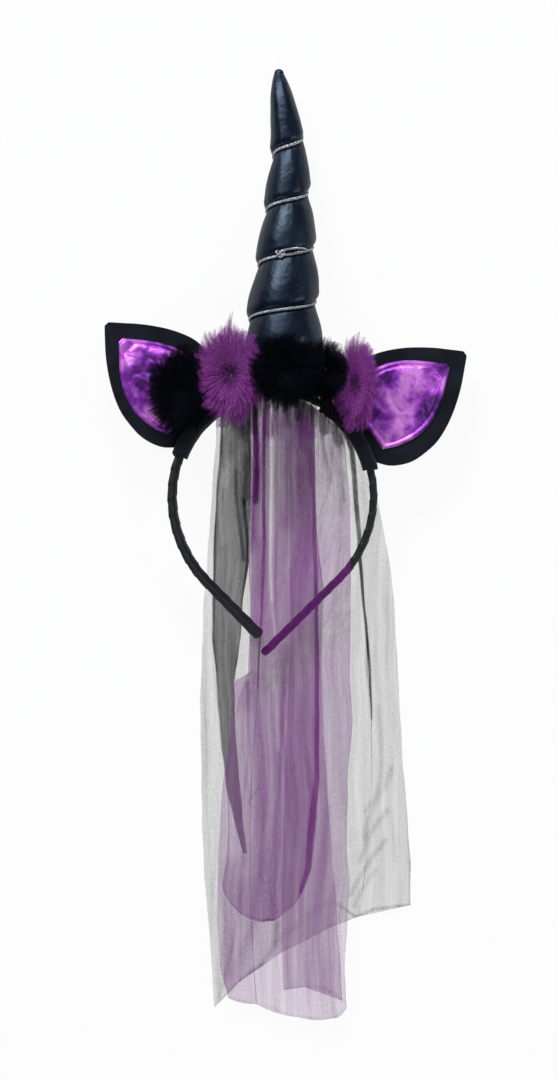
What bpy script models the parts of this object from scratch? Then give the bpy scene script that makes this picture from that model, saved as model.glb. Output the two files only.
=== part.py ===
"""Unicorn horn headband: a satin covered hoop with a stuffed spiral horn, two felt ears, tulle
rosettes and a two-colour tulle veil, lying on its back on a flat surface.

+Y runs from the veil's hem to the horn's tip, +X to the right as the face side is seen, and +Z up,
out of the face side. Sizes are in metres. The pieces are laid out about the middle of the crown,
which is the top of the hoop, and the last function moves them over the origin.
"""
import functools
import math
import random
from collections import namedtuple

import bmesh
import bpy
from mathutils import Matrix, Vector

# Clearances between pieces
SEAT_GAP = 0.0003
PLY_GAP = 0.0005

# The hoop: a flat spring strip standing on its edge
BAND_HALF_WIDTH = 0.0554
BAND_ARC_RISE = 0.0578
BAND_THICKNESS = 0.0042
BAND_BREADTH = 0.0095
BAND_CHAMFER = 0.0012
BAND_TIP_LENGTH = 0.0045
CROWN_ROLL = 3.0
ARC_STEP = 7.5
BEND_STEPS = 6
RUN_STEPS = 6

# Each arm bends inward below the arc and then runs straight
Arm = namedtuple("Arm", "side bend_radius bend_angle run roll_at_arc roll_at_tip")
LEFT_ARM = Arm(side=-1, bend_radius=0.068, bend_angle=44.5, run=0.0415, roll_at_arc=13.0, roll_at_tip=23.0)
RIGHT_ARM = Arm(side=1, bend_radius=0.064, bend_angle=45.3, run=0.0595, roll_at_arc=2.5, roll_at_tip=6.0)

# The stuffed horn, wound with a cord that pinches it into lobes
HORN_LENGTH = 0.1758
HORN_RADIUS = 0.0213
HORN_OFFSET = 0.0061
GROOVE_DEPTH = 0.0022
GROOVE_PITCH = 0.03025
GROOVE_SWAY = 0.0026
GROOVE_FIRST = 0.0114
GROOVE_TURNS = 4.5
GROOVE_FADE = 0.45
HORN_STEP = 22.5
CORD_RADIUS = 0.0008
CORD_START = -45.0
CORD_CLEARANCE = 0.0005
RESTING_SHARE = 0.15

# Share along the horn, share of the horn's length that the axis bows aside, share of the full radius
HORN_SECTIONS = (
    (0.000, 0.000, 0.72),
    (0.012, 0.000, 0.86),
    (0.030, 0.000, 0.95),
    (0.060, 0.000, 0.99),
    (0.150, -0.001, 1.00),
    (0.240, -0.003, 0.945),
    (0.360, 0.006, 0.840),
    (0.480, 0.010, 0.735),
    (0.600, 0.013, 0.610),
    (0.700, 0.014, 0.520),
    (0.780, 0.011, 0.445),
    (0.866, 0.000, 0.355),
    (0.920, -0.008, 0.285),
    (0.960, -0.013, 0.200),
    (0.985, -0.016, 0.125),
)
# Share of the pitch above a groove, share of its depth left from the groove below and the groove above
LOBE_COLUMNS = (
    (0.00, 1.00, 1.00),
    (0.05, 0.55, 0.00),
    (0.12, 0.15, 0.00),
    (0.20, 0.00, 0.00),
    (0.29, 0.00, 0.00),
    (0.38, 0.00, 0.00),
    (0.47, 0.00, 0.02),
    (0.56, 0.00, 0.06),
    (0.65, 0.00, 0.13),
    (0.74, 0.00, 0.26),
    (0.83, 0.00, 0.45),
    (0.90, 0.00, 0.64),
    (0.95, 0.00, 0.82),
)
# Share of the nose's length past the last section, share of the last section's radius
HORN_NOSE = ((0.45, 0.80), (0.80, 0.50))

# Felt ears, their shiny insets and the felt sleeves that hold them to the hoop
EAR_LENGTH = 0.0755
EAR_FELT = 0.0020
EAR_DROOP = 0.0060
EAR_DISH = 0.0016
SLEEVE_FELT = 0.0018
INSET_FELT = 0.0010
INSET_SETBACK = 0.0078
INSET_LENGTH = 0.0560
Ear = namedtuple("Ear", "root_angle lean upper lower inset_upper inset_lower sleeve_from sleeve_to")
LEFT_EAR = Ear(139.0, 131.3, 0.0317, 0.0268, 0.0228, 0.0202, 120.0, 157.5)
RIGHT_EAR = Ear(36.0, 36.2, 0.0299, 0.0311, 0.0226, 0.0212, 15.0, 60.0)

# Share of the ear's length, share of its half width
EAR_OUTLINE = (
    (0.00, 0.60),
    (0.09, 0.79),
    (0.18, 0.91),
    (0.28, 0.99),
    (0.38, 1.00),
    (0.48, 0.97),
    (0.57, 0.88),
    (0.66, 0.75),
    (0.75, 0.59),
    (0.84, 0.41),
    (0.92, 0.23),
    (0.97, 0.12),
    (1.00, 0.05),
)
INSET_OUTLINE = (
    (0.00, 0.74),
    (0.12, 0.89),
    (0.26, 0.98),
    (0.38, 1.00),
    (0.50, 0.95),
    (0.62, 0.83),
    (0.74, 0.64),
    (0.85, 0.41),
    (0.94, 0.20),
    (1.00, 0.06),
)
LEAF_COLUMNS = (-1.0, -0.85, -0.6, -0.3, 0.0, 0.3, 0.6, 0.85, 1.0)

# Rosettes: balls of pleated tulle, with fins that stand out from the middle. Each settles by its
# nestle into what it is seated on, as far as its fins leave room.
ROSETTE_VALLEY = 0.80
ROSETTE_RINGS = 8
Rosette = namedtuple("Rosette", "across along wide tall deep tilt nestle fins seat colour")
ROSETTES = {
    "rosette_black_left": Rosette(
        across=-0.0515, along=0.0000, wide=0.0118, tall=0.0160, deep=0.0080, tilt=0.0, nestle=0.0000,
        fins=11, seat="left ear", colour="black",
    ),
    "rosette_purple_left": Rosette(
        across=-0.0225, along=0.0080, wide=0.0165, tall=0.0200, deep=0.0090, tilt=-20.0, nestle=0.0024,
        fins=14, seat="horn", colour="purple",
    ),
    "rosette_black_middle": Rosette(
        across=0.0073, along=0.0098, wide=0.0152, tall=0.0155, deep=0.0080, tilt=0.0, nestle=0.0007,
        fins=12, seat="horn", colour="black",
    ),
    "rosette_black_right": Rosette(
        across=0.0284, along=0.0110, wide=0.0092, tall=0.0120, deep=0.0080, tilt=35.0, nestle=0.0012,
        fins=10, seat="horn", colour="black",
    ),
    "rosette_purple_right": Rosette(
        across=0.0450, along=0.0030, wide=0.0092, tall=0.0190, deep=0.0080, tilt=0.0, nestle=0.0003,
        fins=12, seat="right ear", colour="purple",
    ),
}

# The veil: four plies of tulle that lie on each other. They are gathered inside the hoop, and the
# top one is held up where it passes over the right arm.
PLY = 0.0011
GATHER_LIFT = 0.0125
GATHER_RUN = 0.048
GATHER_ROWS = (0.0, 0.006, 0.013, 0.021, 0.029, 0.037, 0.048)
GATHER_HALF_WIDTH = 0.042
GATHER_EASE = 0.0006
SLEEVE_EASE = 0.020
TENT_SLOPE = 0.68
TENT_FLAT = 0.0075
TENT_START = 3
TIP_CLEARANCE = 0.0008

# An edge row is a share of the drop, then the left and the right edge as shares of the ply's width.
# Stations are the rows below the gather, as shares of the way from it to the hem.
Ply = namedtuple("Ply", "level drop_left drop_right width hem_bow edges stations columns colour")
BLACK_BACK = Ply(
    level=0, drop_left=0.3405, drop_right=0.2827, width=0.1161, hem_bow=-0.010, colour="black", columns=16,
    edges=(
        (0.000, -0.255, 0.335),
        (0.040, -0.270, 0.380),
        (0.090, -0.284, 0.438),
        (0.150, -0.294, 0.498),
        (0.245, -0.313, 0.545),
        (0.340, -0.332, 0.574),
        (0.480, -0.346, 0.593),
        (0.645, -0.341, 0.612),
        (0.795, -0.327, 0.640),
        (0.905, -0.299, 0.650),
        (1.000, -0.280, 0.654),
    ),
    stations=(0.06, 0.14, 0.24, 0.38, 0.53, 0.68, 0.83, 0.94, 1.0),
)
BLACK_FOLD = Ply(
    level=1, drop_left=0.2530, drop_right=0.2550, width=0.0190, hem_bow=0.0, colour="black", columns=4,
    edges=(
        (0.000, -1.505, -0.780),
        (0.090, -1.595, -0.752),
        (0.190, -1.680, -0.752),
        (0.280, -1.740, -0.752),
        (0.420, -1.795, -0.925),
        (0.540, -1.740, -0.970),
        (0.650, -1.620, -1.130),
        (0.780, -1.480, -1.215),
        (0.880, -1.305, -1.130),
        (1.000, -1.000, -0.840),
    ),
    stations=(0.12, 0.25, 0.38, 0.5, 0.62, 0.75, 0.88, 1.0),
)
PURPLE_LOOP = Ply(
    level=2, drop_left=0.2760, drop_right=0.2735, width=0.0515, hem_bow=0.0165, colour="purple", columns=8,
    edges=(
        (0.000, -0.205, 0.440),
        (0.300, -0.224, 0.480),
        (0.520, -0.245, 0.491),
        (0.560, -0.425, 0.491),
        (0.680, -0.459, 0.491),
        (0.770, -0.491, 0.491),
        (0.900, -0.480, 0.475),
        (0.960, -0.523, 0.430),
        (1.000, -0.523, 0.352),
    ),
    stations=(0.12, 0.25, 0.38, 0.44, 0.5, 0.62, 0.75, 0.88, 0.95, 1.0),
)
PURPLE_WIDE = Ply(
    level=3, drop_left=0.3350, drop_right=0.3394, width=0.0730, hem_bow=0.0077, colour="purple", columns=16,
    edges=(
        (0.000, -0.158, 0.530),
        (0.110, -0.166, 0.543),
        (0.210, -0.173, 0.573),
        (0.310, -0.181, 0.588),
        (0.410, -0.188, 0.580),
        (0.510, -0.279, 0.595),
        (0.620, -0.362, 0.565),
        (0.740, -0.414, 0.558),
        (0.830, -0.422, 0.573),
        (0.920, -0.418, 0.554),
        (1.000, -0.339, 0.558),
    ),
    stations=(
        0.025, 0.05, 0.075, 0.1, 0.125, 0.15, 0.175, 0.2, 0.225, 0.25, 0.275, 0.3, 0.325, 0.36,
        0.42, 0.5, 0.59, 0.68, 0.77, 0.86, 0.94, 1.0,
    ),
)
PLIES = {
    "veil_black_back": BLACK_BACK,
    "veil_black_fold": BLACK_FOLD,
    "veil_purple_loop": PURPLE_LOOP,
    "veil_purple_wide": PURPLE_WIDE,
}

# Finish: colour, roughness, metallic
FINISHES = {
    "satin": ((0.006, 0.007, 0.014), 0.38, 0.0),
    "horn skin": ((0.010, 0.013, 0.022), 0.30, 0.0),
    "silver": ((0.50, 0.52, 0.56), 0.35, 0.8),
    "felt": ((0.008, 0.012, 0.020), 0.95, 0.0),
    "foil": ((0.28, 0.05, 0.42), 0.28, 0.85),
    "black tulle": ((0.010, 0.010, 0.016), 0.75, 0.0),
    "purple tulle": ((0.22, 0.06, 0.26), 0.70, 0.0),
}


def smoothstep(start, end, value):
    """Rise from 0 at start to 1 at end."""
    share = min(1.0, max(0.0, (value - start) / (end - start)))
    return share * share * (3.0 - 2.0 * share)


def read_table(rows, column, share):
    """Read a column of a table at a share between its rows, along a smooth curve through them."""
    last = len(rows) - 1
    if share <= rows[0][0]:
        return rows[0][column]
    if share >= rows[last][0]:
        return rows[last][column]
    index = max(i for i in range(last) if rows[i][0] <= share)
    slopes = []
    for i in (index, index + 1):
        before, after = rows[max(0, i - 1)], rows[min(last, i + 1)]
        slopes.append((after[column] - before[column]) / (after[0] - before[0]))
    left, right = rows[index], rows[index + 1]
    span = right[0] - left[0]
    t = (share - left[0]) / span
    return (
        left[column] * (1 + 2 * t) * (1 - t) ** 2
        + right[column] * t * t * (3 - 2 * t)
        + span * slopes[0] * t * (1 - t) ** 2
        - span * slopes[1] * t * t * (1 - t)
    )


def add_object(name, data, finish):
    """Link a mesh or curve as a named object with a material of its own."""
    obj = bpy.data.objects.new(name, data)
    bpy.context.scene.collection.objects.link(obj)
    colour, roughness, metallic = FINISHES[finish]
    material = bpy.data.materials.new(f"{name} {finish}")
    material.use_nodes = True
    shader = material.node_tree.nodes["Principled BSDF"]
    shader.inputs["Base Color"].default_value = (*colour, 1.0)
    shader.inputs["Roughness"].default_value = roughness
    shader.inputs["Metallic"].default_value = metallic
    data.materials.append(material)
    return obj


def finish_mesh(name, bm, finish, crease=40.0):
    """Turn a bmesh into a smooth shaded object whose faces point outward."""
    bmesh.ops.recalc_face_normals(bm, faces=bm.faces)
    mesh = bpy.data.meshes.new(name)
    bm.to_mesh(mesh)
    bm.free()
    mesh.shade_smooth()
    mesh.set_sharp_from_angle(angle=math.radians(crease))
    return add_object(name, mesh, finish)


def extrude_ring(bm, ring, points):
    """Extrude a closed ring of vertices onto the next ring of points."""
    edges = [bm.edges.get((a, b)) for a, b in zip(ring, ring[1:] + ring[:1])]
    made = bmesh.ops.extrude_edge_only(bm, edges=edges)["geom"]
    fresh = {item for item in made if isinstance(item, bmesh.types.BMVert)}
    following = []
    for vertex in ring:
        neighbours = [edge.other_vert(vertex) for edge in vertex.link_edges]
        following.append(next(other for other in neighbours if other in fresh))
    for vertex, point in zip(following, points):
        vertex.co = point
    return following


def loft(rings):
    """Extrude the first ring through all the others and return the bmesh with its end rings."""
    bm = bmesh.new()
    first = [bm.verts.new(point) for point in rings[0]]
    for a, b in zip(first, first[1:] + first[:1]):
        bm.edges.new((a, b))
    ring = first
    for points in rings[1:]:
        ring = extrude_ring(bm, ring, points)
    return bm, first, ring


def loft_capped(name, rings, finish, crease=40.0):
    """Loft rings into a closed solid with flat ends."""
    bm, first, last = loft(rings)
    bm.faces.new(first)
    bm.faces.new(last)
    return finish_mesh(name, bm, finish, crease)


def loft_tube(name, rings, finish, crease=40.0):
    """Loft rings whose last one joins the first, which leaves the solid open right through."""
    bm, first, last = loft(rings)
    for i, vertex in enumerate(first):
        after = (i + 1) % len(first)
        bm.faces.new((vertex, first[after], last[after], last[i]))
    return finish_mesh(name, bm, finish, crease)


def arc_point(angle, outward=0.0):
    """A point of the hoop's top arc in plan, moved outward from its centreline."""
    turn = math.radians(angle)
    return Vector((
        (BAND_HALF_WIDTH + outward) * math.cos(turn),
        (BAND_ARC_RISE + outward) * math.sin(turn) - BAND_ARC_RISE,
        0.0,
    ))


def arm_points(arm):
    """Plan points of an arm from just below the arc to its tip, with the share of the arm's length."""
    total = arm.bend_radius * math.radians(arm.bend_angle) + arm.run
    start = Vector((BAND_HALF_WIDTH, -BAND_ARC_RISE, 0.0))
    points = []
    for i in range(1, BEND_STEPS + 1):
        turn = math.radians(arm.bend_angle) * i / BEND_STEPS
        inward = arm.bend_radius * (1 - math.cos(turn))
        down = arm.bend_radius * math.sin(turn)
        points.append((start + Vector((-inward, -down, 0.0)), arm.bend_radius * turn / total))
    end, _ = points[-1]
    way = Vector((-math.sin(math.radians(arm.bend_angle)), -math.cos(math.radians(arm.bend_angle)), 0.0))
    straight = arm.run - BAND_TIP_LENGTH
    for i in range(1, RUN_STEPS + 1):
        length = straight * i / RUN_STEPS
        points.append((end + way * length, 1 - (arm.run - length) / total))
    for share in (0.45, 0.8, 1.0):
        length = straight + BAND_TIP_LENGTH * share
        points.append((end + way * length, 1 - (arm.run - length) / total))
    return [(Vector((point.x * arm.side, point.y, 0.0)), share) for point, share in points]


def ply_level(plies):
    """Height of the top of so many plies lying flat on each other, with a gap over each."""
    return plies * (PLY + PLY_GAP)


def half_height(roll):
    """Half the height of the hoop's section when it is rolled by an angle."""
    turn = math.radians(abs(roll))
    return 0.5 * (BAND_BREADTH * math.cos(turn) + BAND_THICKNESS * math.sin(turn))


def half_width(roll):
    """Half the width in plan of the hoop's section when it is rolled by an angle."""
    turn = math.radians(abs(roll))
    return 0.5 * (BAND_THICKNESS * math.cos(turn) + BAND_BREADTH * math.sin(turn))


Station = namedtuple("Station", "place roll angle taper")


def tip_taper(position, count):
    """The section's size at a station of an arm, which rounds off at the tip."""
    return {1: 0.62, 2: 0.85, 3: 0.96}.get(count - position, 1.0)


def right_half_height(length):
    """Height of the hoop's centreline at a length from the crown down its right half."""
    bend = RIGHT_ARM.bend_radius * math.radians(RIGHT_ARM.bend_angle)
    whole = BAND_HALF_WIDTH * math.pi / 2 + bend + RIGHT_ARM.run
    tip = ply_level(3) + half_height(RIGHT_ARM.roll_at_tip)
    return HORN_RADIUS + (tip - HORN_RADIUS) * length / whole


@functools.cache
def right_arm_stations():
    """Stations of the right arm, which slopes down to lie on the three lower plies."""
    bend = RIGHT_ARM.bend_radius * math.radians(RIGHT_ARM.bend_angle)
    points = arm_points(RIGHT_ARM)
    stations = []
    for position, (point, share) in enumerate(points):
        height = right_half_height(BAND_HALF_WIDTH * math.pi / 2 + (bend + RIGHT_ARM.run) * share)
        roll = RIGHT_ARM.roll_at_arc + (RIGHT_ARM.roll_at_tip - RIGHT_ARM.roll_at_arc) * share
        place = point + Vector((0, 0, height))
        stations.append(Station(place, roll, None, tip_taper(position, len(points))))
    return stations


def left_arm_stations():
    """Stations of the left arm, whose tip lies on the top ply where that passes over the right arm."""
    points = arm_points(LEFT_ARM)
    reach = max(tent_height(point.x, -point.y) for point, _ in points)
    tip = reach + PLY + TIP_CLEARANCE + half_height(LEFT_ARM.roll_at_tip)
    stations = []
    for position, (point, share) in enumerate(points):
        height = HORN_RADIUS + (tip - HORN_RADIUS) * smoothstep(0.0, 0.8, share)
        roll = LEFT_ARM.roll_at_arc + (LEFT_ARM.roll_at_tip - LEFT_ARM.roll_at_arc) * share
        place = point + Vector((0, 0, height))
        stations.append(Station(place, -roll, None, tip_taper(position, len(points))))
    return stations


def arc_roll(angle):
    """Roll of the hoop's section at an angle of its top arc."""
    if angle > 90:
        return -CROWN_ROLL - (LEFT_ARM.roll_at_arc - CROWN_ROLL) * (angle - 90) / 90
    return -CROWN_ROLL + (RIGHT_ARM.roll_at_arc + CROWN_ROLL) * (1 - angle / 90)


@functools.cache
def band_stations():
    """Stations of the hoop's centreline from the left tip over the crown to the right tip."""
    stations = list(reversed(left_arm_stations()))
    for i in range(round(180 / ARC_STEP) + 1):
        angle = 180 - ARC_STEP * i
        height = right_half_height(BAND_HALF_WIDTH * math.radians(max(0.0, 90 - angle)))
        stations.append(Station(arc_point(angle) + Vector((0, 0, height)), arc_roll(angle), angle, 1.0))
    return stations + right_arm_stations()


def section_points(half_thick, half_broad):
    """The eight corners of a strip's chamfered section, across its thickness and its breadth."""
    c = BAND_CHAMFER
    return [
        (half_thick, c - half_broad), (half_thick, half_broad - c),
        (half_thick - c, half_broad), (c - half_thick, half_broad),
        (-half_thick, half_broad - c), (-half_thick, c - half_broad),
        (c - half_thick, -half_broad), (half_thick - c, -half_broad),
    ]


def station_ring(stations, index, half_thick, half_broad):
    """The section's corners at a station, square to the centreline there."""
    before = stations[max(0, index - 1)].place
    after = stations[min(len(stations) - 1, index + 1)].place
    along = (after - before).normalized()
    broad = (Vector((0, 0, 1)) - along * along.z).normalized()
    broad.rotate(Matrix.Rotation(math.radians(stations[index].roll), 3, along))
    thick = along.cross(broad)
    taper = stations[index].taper
    return [
        stations[index].place + thick * (a * (0.5 + 0.5 * taper)) + broad * (b * taper)
        for a, b in section_points(half_thick, half_broad)
    ]


def build_headband():
    """The satin covered hoop."""
    stations = band_stations()
    rings = [station_ring(stations, i, BAND_THICKNESS / 2, BAND_BREADTH / 2) for i in range(len(stations))]
    return loft_capped("headband", rings, "satin")


def build_sleeve(name, ear):
    """The felt wrapped round the hoop at an ear's root."""
    stations = band_stations()
    chosen = []
    for index, station in enumerate(stations):
        if station.angle is not None and ear.sleeve_from <= station.angle <= ear.sleeve_to:
            chosen.append(index)
    inner = (BAND_THICKNESS / 2 + SEAT_GAP, BAND_BREADTH / 2 + SEAT_GAP)
    outer = (inner[0] + SLEEVE_FELT, inner[1] + SLEEVE_FELT)
    rings = [station_ring(stations, i, *inner) for i in chosen]
    rings += [station_ring(stations, i, *outer) for i in reversed(chosen)]
    return loft_tube(name, rings, "felt")


def horn_base():
    """How far above the crown's middle the horn starts."""
    return half_width(CROWN_ROLL) + SEAT_GAP


def horn_axis(along):
    """The horn's centre at a distance above its base, with the full radius there."""
    share = along / HORN_LENGTH
    radius = HORN_RADIUS * read_table(HORN_SECTIONS, 2, share)
    resting = HORN_RADIUS * read_table(HORN_SECTIONS, 2, max(share, RESTING_SHARE))
    aside = HORN_OFFSET + HORN_LENGTH * read_table(HORN_SECTIONS, 1, share)
    return Vector((aside, horn_base() + along, resting)), radius


def groove_height(turns):
    """Distance above the base of the groove after so many turns, counted from the front."""
    return GROOVE_FIRST + GROOVE_PITCH * turns - GROOVE_SWAY * math.sin(2 * math.pi * turns)


def groove_strength(turns):
    """The groove keeps its depth and dies out over its last part."""
    return 1.0 - smoothstep(GROOVE_TURNS - GROOVE_FADE, GROOVE_TURNS, turns)


def column_angle(along, share):
    """Angle round the horn, from +X over the front, of a column at a share of the pitch above the groove."""
    angle = math.pi / 2
    for _ in range(24):
        height = along - GROOVE_FIRST + GROOVE_SWAY * math.cos(angle)
        angle = math.pi / 2 + 2 * math.pi * (share - height / GROOVE_PITCH)
    return angle


def horn_ring(along):
    """One ring of the horn, whose columns follow the groove."""
    centre, radius = horn_axis(along)
    ring = []
    for share, from_below, from_above in LOBE_COLUMNS:
        angle = column_angle(along, share)
        turns = (math.pi / 2 - angle) / (2 * math.pi)
        recess = max(
            from_below * groove_strength(turns),
            from_above * groove_strength(turns + 1),
        )
        reach = radius - GROOVE_DEPTH * recess
        ring.append(centre + Vector((reach * math.cos(angle), 0.0, reach * math.sin(angle))))
    return ring


def build_horn():
    """The stuffed horn, from its flat base to its round nose."""
    full = HORN_SECTIONS[-1][0] * HORN_LENGTH
    turns_per_ring = HORN_STEP / 360
    index = math.ceil((0.5 * (CORD_START / 360) - 1) / turns_per_ring)
    heights = [0.0]
    while True:
        height = groove_height(index * turns_per_ring)
        if height > full - 0.5 * GROOVE_PITCH * turns_per_ring:
            break
        if height > 0.3 * GROOVE_PITCH * turns_per_ring:
            heights.append(height)
        index += 1
    heights.append(full)
    rings = [horn_ring(height) for height in heights]
    centre, _ = horn_axis(full)
    nose = HORN_LENGTH - full
    for share, size in HORN_NOSE:
        shift = Vector((0, nose * share, 0))
        rings.append([centre + shift + (point - centre) * size for point in rings[len(heights) - 1]])
    bm, first, last = loft(rings)
    bm.faces.new(first)
    tip = bm.verts.new(centre + Vector((0, nose, 0)))
    for a, b in zip(last, last[1:] + last[:1]):
        bm.faces.new((a, b, tip))
    return finish_mesh("horn", bm, "horn skin", crease=60.0)


def build_horn_cord():
    """The silver cord that lies in the horn's groove."""
    turns_per_ring = HORN_STEP / 360
    first = round(CORD_START / HORN_STEP)
    last = math.floor((GROOVE_TURNS - 0.25 * GROOVE_FADE) / turns_per_ring)
    points = []
    for index in range(first, last + 1):
        turns = index * turns_per_ring
        angle = math.pi / 2 - 2 * math.pi * turns
        centre, radius = horn_axis(groove_height(turns))
        reach = radius - GROOVE_DEPTH * groove_strength(turns) + CORD_CLEARANCE + CORD_RADIUS
        points.append(centre + Vector((reach * math.cos(angle), 0.0, reach * math.sin(angle))))
    curve = bpy.data.curves.new("horn_cord", "CURVE")
    curve.dimensions = "3D"
    curve.bevel_depth = CORD_RADIUS
    curve.bevel_resolution = 1
    curve.use_fill_caps = True
    spline = curve.splines.new("POLY")
    spline.points.add(len(points) - 1)
    for spline_point, point in zip(spline.points, points):
        spline_point.co = (*point, 1.0)
    return add_object("horn_cord", curve, "silver")


def band_height_at(angle):
    """Height of the hoop's centreline at an angle of its arc."""
    heights = {s.angle: s.place.z for s in band_stations() if s.angle is not None}
    return heights[min(heights, key=lambda known: abs(known - angle))]


def ear_axes(ear):
    """An ear's root on the hoop, its direction and the direction across it, toward its upper edge."""
    turn = math.radians(ear.lean)
    along = Vector((math.cos(turn), math.sin(turn), 0.0))
    across = Vector((-along.y, along.x, 0.0))
    if across.y < 0:
        across.negate()
    root = arc_point(ear.root_angle)
    root.z = band_height_at(ear.root_angle)
    return root, along, across


def root_setback(ear, v):
    """Distance along an ear at which it meets its sleeve, at a distance across it."""
    root, along, across = ear_axes(ear)
    roll = math.radians(abs(arc_roll(ear.sleeve_to)))
    outward = (BAND_THICKNESS / 2 + SEAT_GAP + SLEEVE_FELT) / math.cos(roll) + SEAT_GAP
    outward += (EAR_FELT / 2 + EAR_DISH) * math.tan(roll)
    wide, tall = BAND_HALF_WIDTH + outward, BAND_ARC_RISE + outward
    start = root + across * v + Vector((0, BAND_ARC_RISE, 0))
    a = (along.x / wide) ** 2 + (along.y / tall) ** 2
    b = 2 * (start.x * along.x / wide ** 2 + start.y * along.y / tall ** 2)
    c = (start.x / wide) ** 2 + (start.y / tall) ** 2 - 1
    return (-b + math.sqrt(b * b - 4 * a * c)) / (2 * a)


def ear_point(ear, u, v, lift=0.0):
    """A point of an ear's middle surface, which droops to its tip and is dished across."""
    root, along, across = ear_axes(ear)
    width = ear.upper if v > 0 else ear.lower
    drop = EAR_DROOP * (u / EAR_LENGTH) ** 2
    dish = EAR_DISH * (v / width) ** 2
    return root + along * u + across * v + Vector((0, 0, dish - drop + lift))


def build_leaf(name, rows, thickness, finish):
    """A leaf: a grid of points with its thickness set evenly to both sides."""
    bm = bmesh.new()
    grid = [[bm.verts.new(point) for point in row] for row in rows]
    for lower, upper in zip(grid, grid[1:]):
        for i in range(len(lower) - 1):
            bm.faces.new((lower[i], lower[i + 1], upper[i + 1], upper[i]))
    obj = finish_mesh(name, bm, finish)
    wall = obj.modifiers.new("wall", "SOLIDIFY")
    wall.thickness = thickness
    wall.offset = 0.0
    return obj


def build_ear(name, ear):
    """The felt leaf of an ear, cut to the sleeve at its root."""
    rows = []
    for share, width in EAR_OUTLINE:
        row = []
        for column in LEAF_COLUMNS:
            half = ear.upper if column > 0 else ear.lower
            v = column * half * width
            start = root_setback(ear, v)
            row.append(ear_point(ear, start + (EAR_LENGTH - start) * share, v))
        rows.append(row)
    return build_leaf(name, rows, EAR_FELT, "felt")


def build_inset(name, ear):
    """The shiny inset on an ear's face."""
    lift = EAR_FELT / 2 + SEAT_GAP + INSET_FELT / 2
    rows = []
    for share, width in INSET_OUTLINE:
        row = []
        for column in LEAF_COLUMNS:
            half = ear.inset_upper if column > 0 else ear.inset_lower
            row.append(ear_point(ear, INSET_SETBACK + INSET_LENGTH * share, column * half * width, lift))
        rows.append(row)
    return build_leaf(name, rows, INSET_FELT, "foil")


def rosette_support(rosette, direction):
    """How far a rosette's smooth outer form reaches in a direction of the XZ plane."""
    turn = math.radians(rosette.tilt)
    broad = direction.x * math.cos(turn) - direction.z * math.sin(turn)
    deep = direction.x * math.sin(turn) + direction.z * math.cos(turn)
    return math.hypot(rosette.wide * broad, rosette.deep * deep)


def height_on_horn(rosette):
    """Lowest height at which a rosette rests on the horn."""
    low, high = HORN_RADIUS, 4 * HORN_RADIUS
    for _ in range(40):
        middle = (low + high) / 2
        clear = True
        for step in range(-9, 10):
            v = rosette.tall * step / 10
            along = rosette.along + v - horn_base()
            if along < 0:
                continue
            centre, radius = horn_axis(along)
            offset = Vector((centre.x - rosette.across, 0.0, centre.z - middle))
            reach = rosette_support(rosette, offset.normalized()) * math.sqrt(1 - (step / 10) ** 2)
            if offset.length < radius + reach + SEAT_GAP - rosette.nestle:
                clear = False
        if clear:
            high = middle
        else:
            low = middle
    return high


def height_on_ear(rosette, ear):
    """Height at which a rosette rests on an ear's face."""
    root, along, across = ear_axes(ear)
    top = EAR_FELT / 2 + SEAT_GAP + INSET_FELT + SEAT_GAP
    offset = Vector((rosette.across, rosette.along, 0.0)) - Vector((root.x, root.y, 0.0))
    surface = ear_point(ear, offset.dot(along), offset.dot(across), top)
    return surface.z + rosette.deep - rosette.nestle


def rosette_height(rosette):
    """Height of a rosette's middle, found from what it is seated on."""
    if rosette.seat == "horn":
        return height_on_horn(rosette)
    return height_on_ear(rosette, LEFT_EAR if rosette.seat == "left ear" else RIGHT_EAR)


def build_rosette(name, rosette):
    """A ball of tulle whose fins are pressed out of a sphere."""
    order = random.Random(name)
    bm = bmesh.new()
    columns = 2 * rosette.fins
    bmesh.ops.create_uvsphere(bm, u_segments=columns, v_segments=ROSETTE_RINGS, radius=1.0)
    lengths = [1.0 - 0.09 * order.random() for _ in range(rosette.fins)]
    for vertex in bm.verts:
        turn = math.atan2(vertex.co.y, vertex.co.x) / (2 * math.pi) * columns
        column = round(turn) % columns
        flat = math.hypot(vertex.co.x, vertex.co.y)
        reach = lengths[column // 2] if column % 2 == 0 else ROSETTE_VALLEY
        vertex.co.x *= 1 - (1 - reach) * flat
        vertex.co.y *= 1 - (1 - reach) * flat
        vertex.co.z *= 1 - (1 - reach) * flat * 0.5
    bmesh.ops.scale(bm, vec=(rosette.wide, rosette.tall, rosette.deep), verts=bm.verts)
    bmesh.ops.rotate(bm, verts=bm.verts, matrix=Matrix.Rotation(math.radians(rosette.tilt), 3, "Y"))
    centre = Vector((rosette.across, rosette.along, rosette_height(rosette)))
    bmesh.ops.translate(bm, verts=bm.verts, vec=centre)
    return finish_mesh(name, bm, f"{rosette.colour} tulle", crease=25.0)


@functools.cache
def gather_edge(across):
    """How far below the crown the veil starts at a distance across, just inside the hoop and its sleeves."""
    sleeve = min(abs(arc_point(LEFT_EAR.sleeve_from).x), abs(arc_point(RIGHT_EAR.sleeve_to).x))
    near = smoothstep(sleeve - SLEEVE_EASE, sleeve - BAND_THICKNESS, abs(across))
    felt = 2 * (SEAT_GAP + SLEEVE_FELT) * near
    inward = half_width(arc_roll(LEFT_EAR.sleeve_from)) + GATHER_EASE + felt
    wide, tall = BAND_HALF_WIDTH - inward, BAND_ARC_RISE - inward
    share = min(abs(across), GATHER_HALF_WIDTH) / wide
    return BAND_ARC_RISE - tall * math.sqrt(1 - share ** 2)


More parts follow.
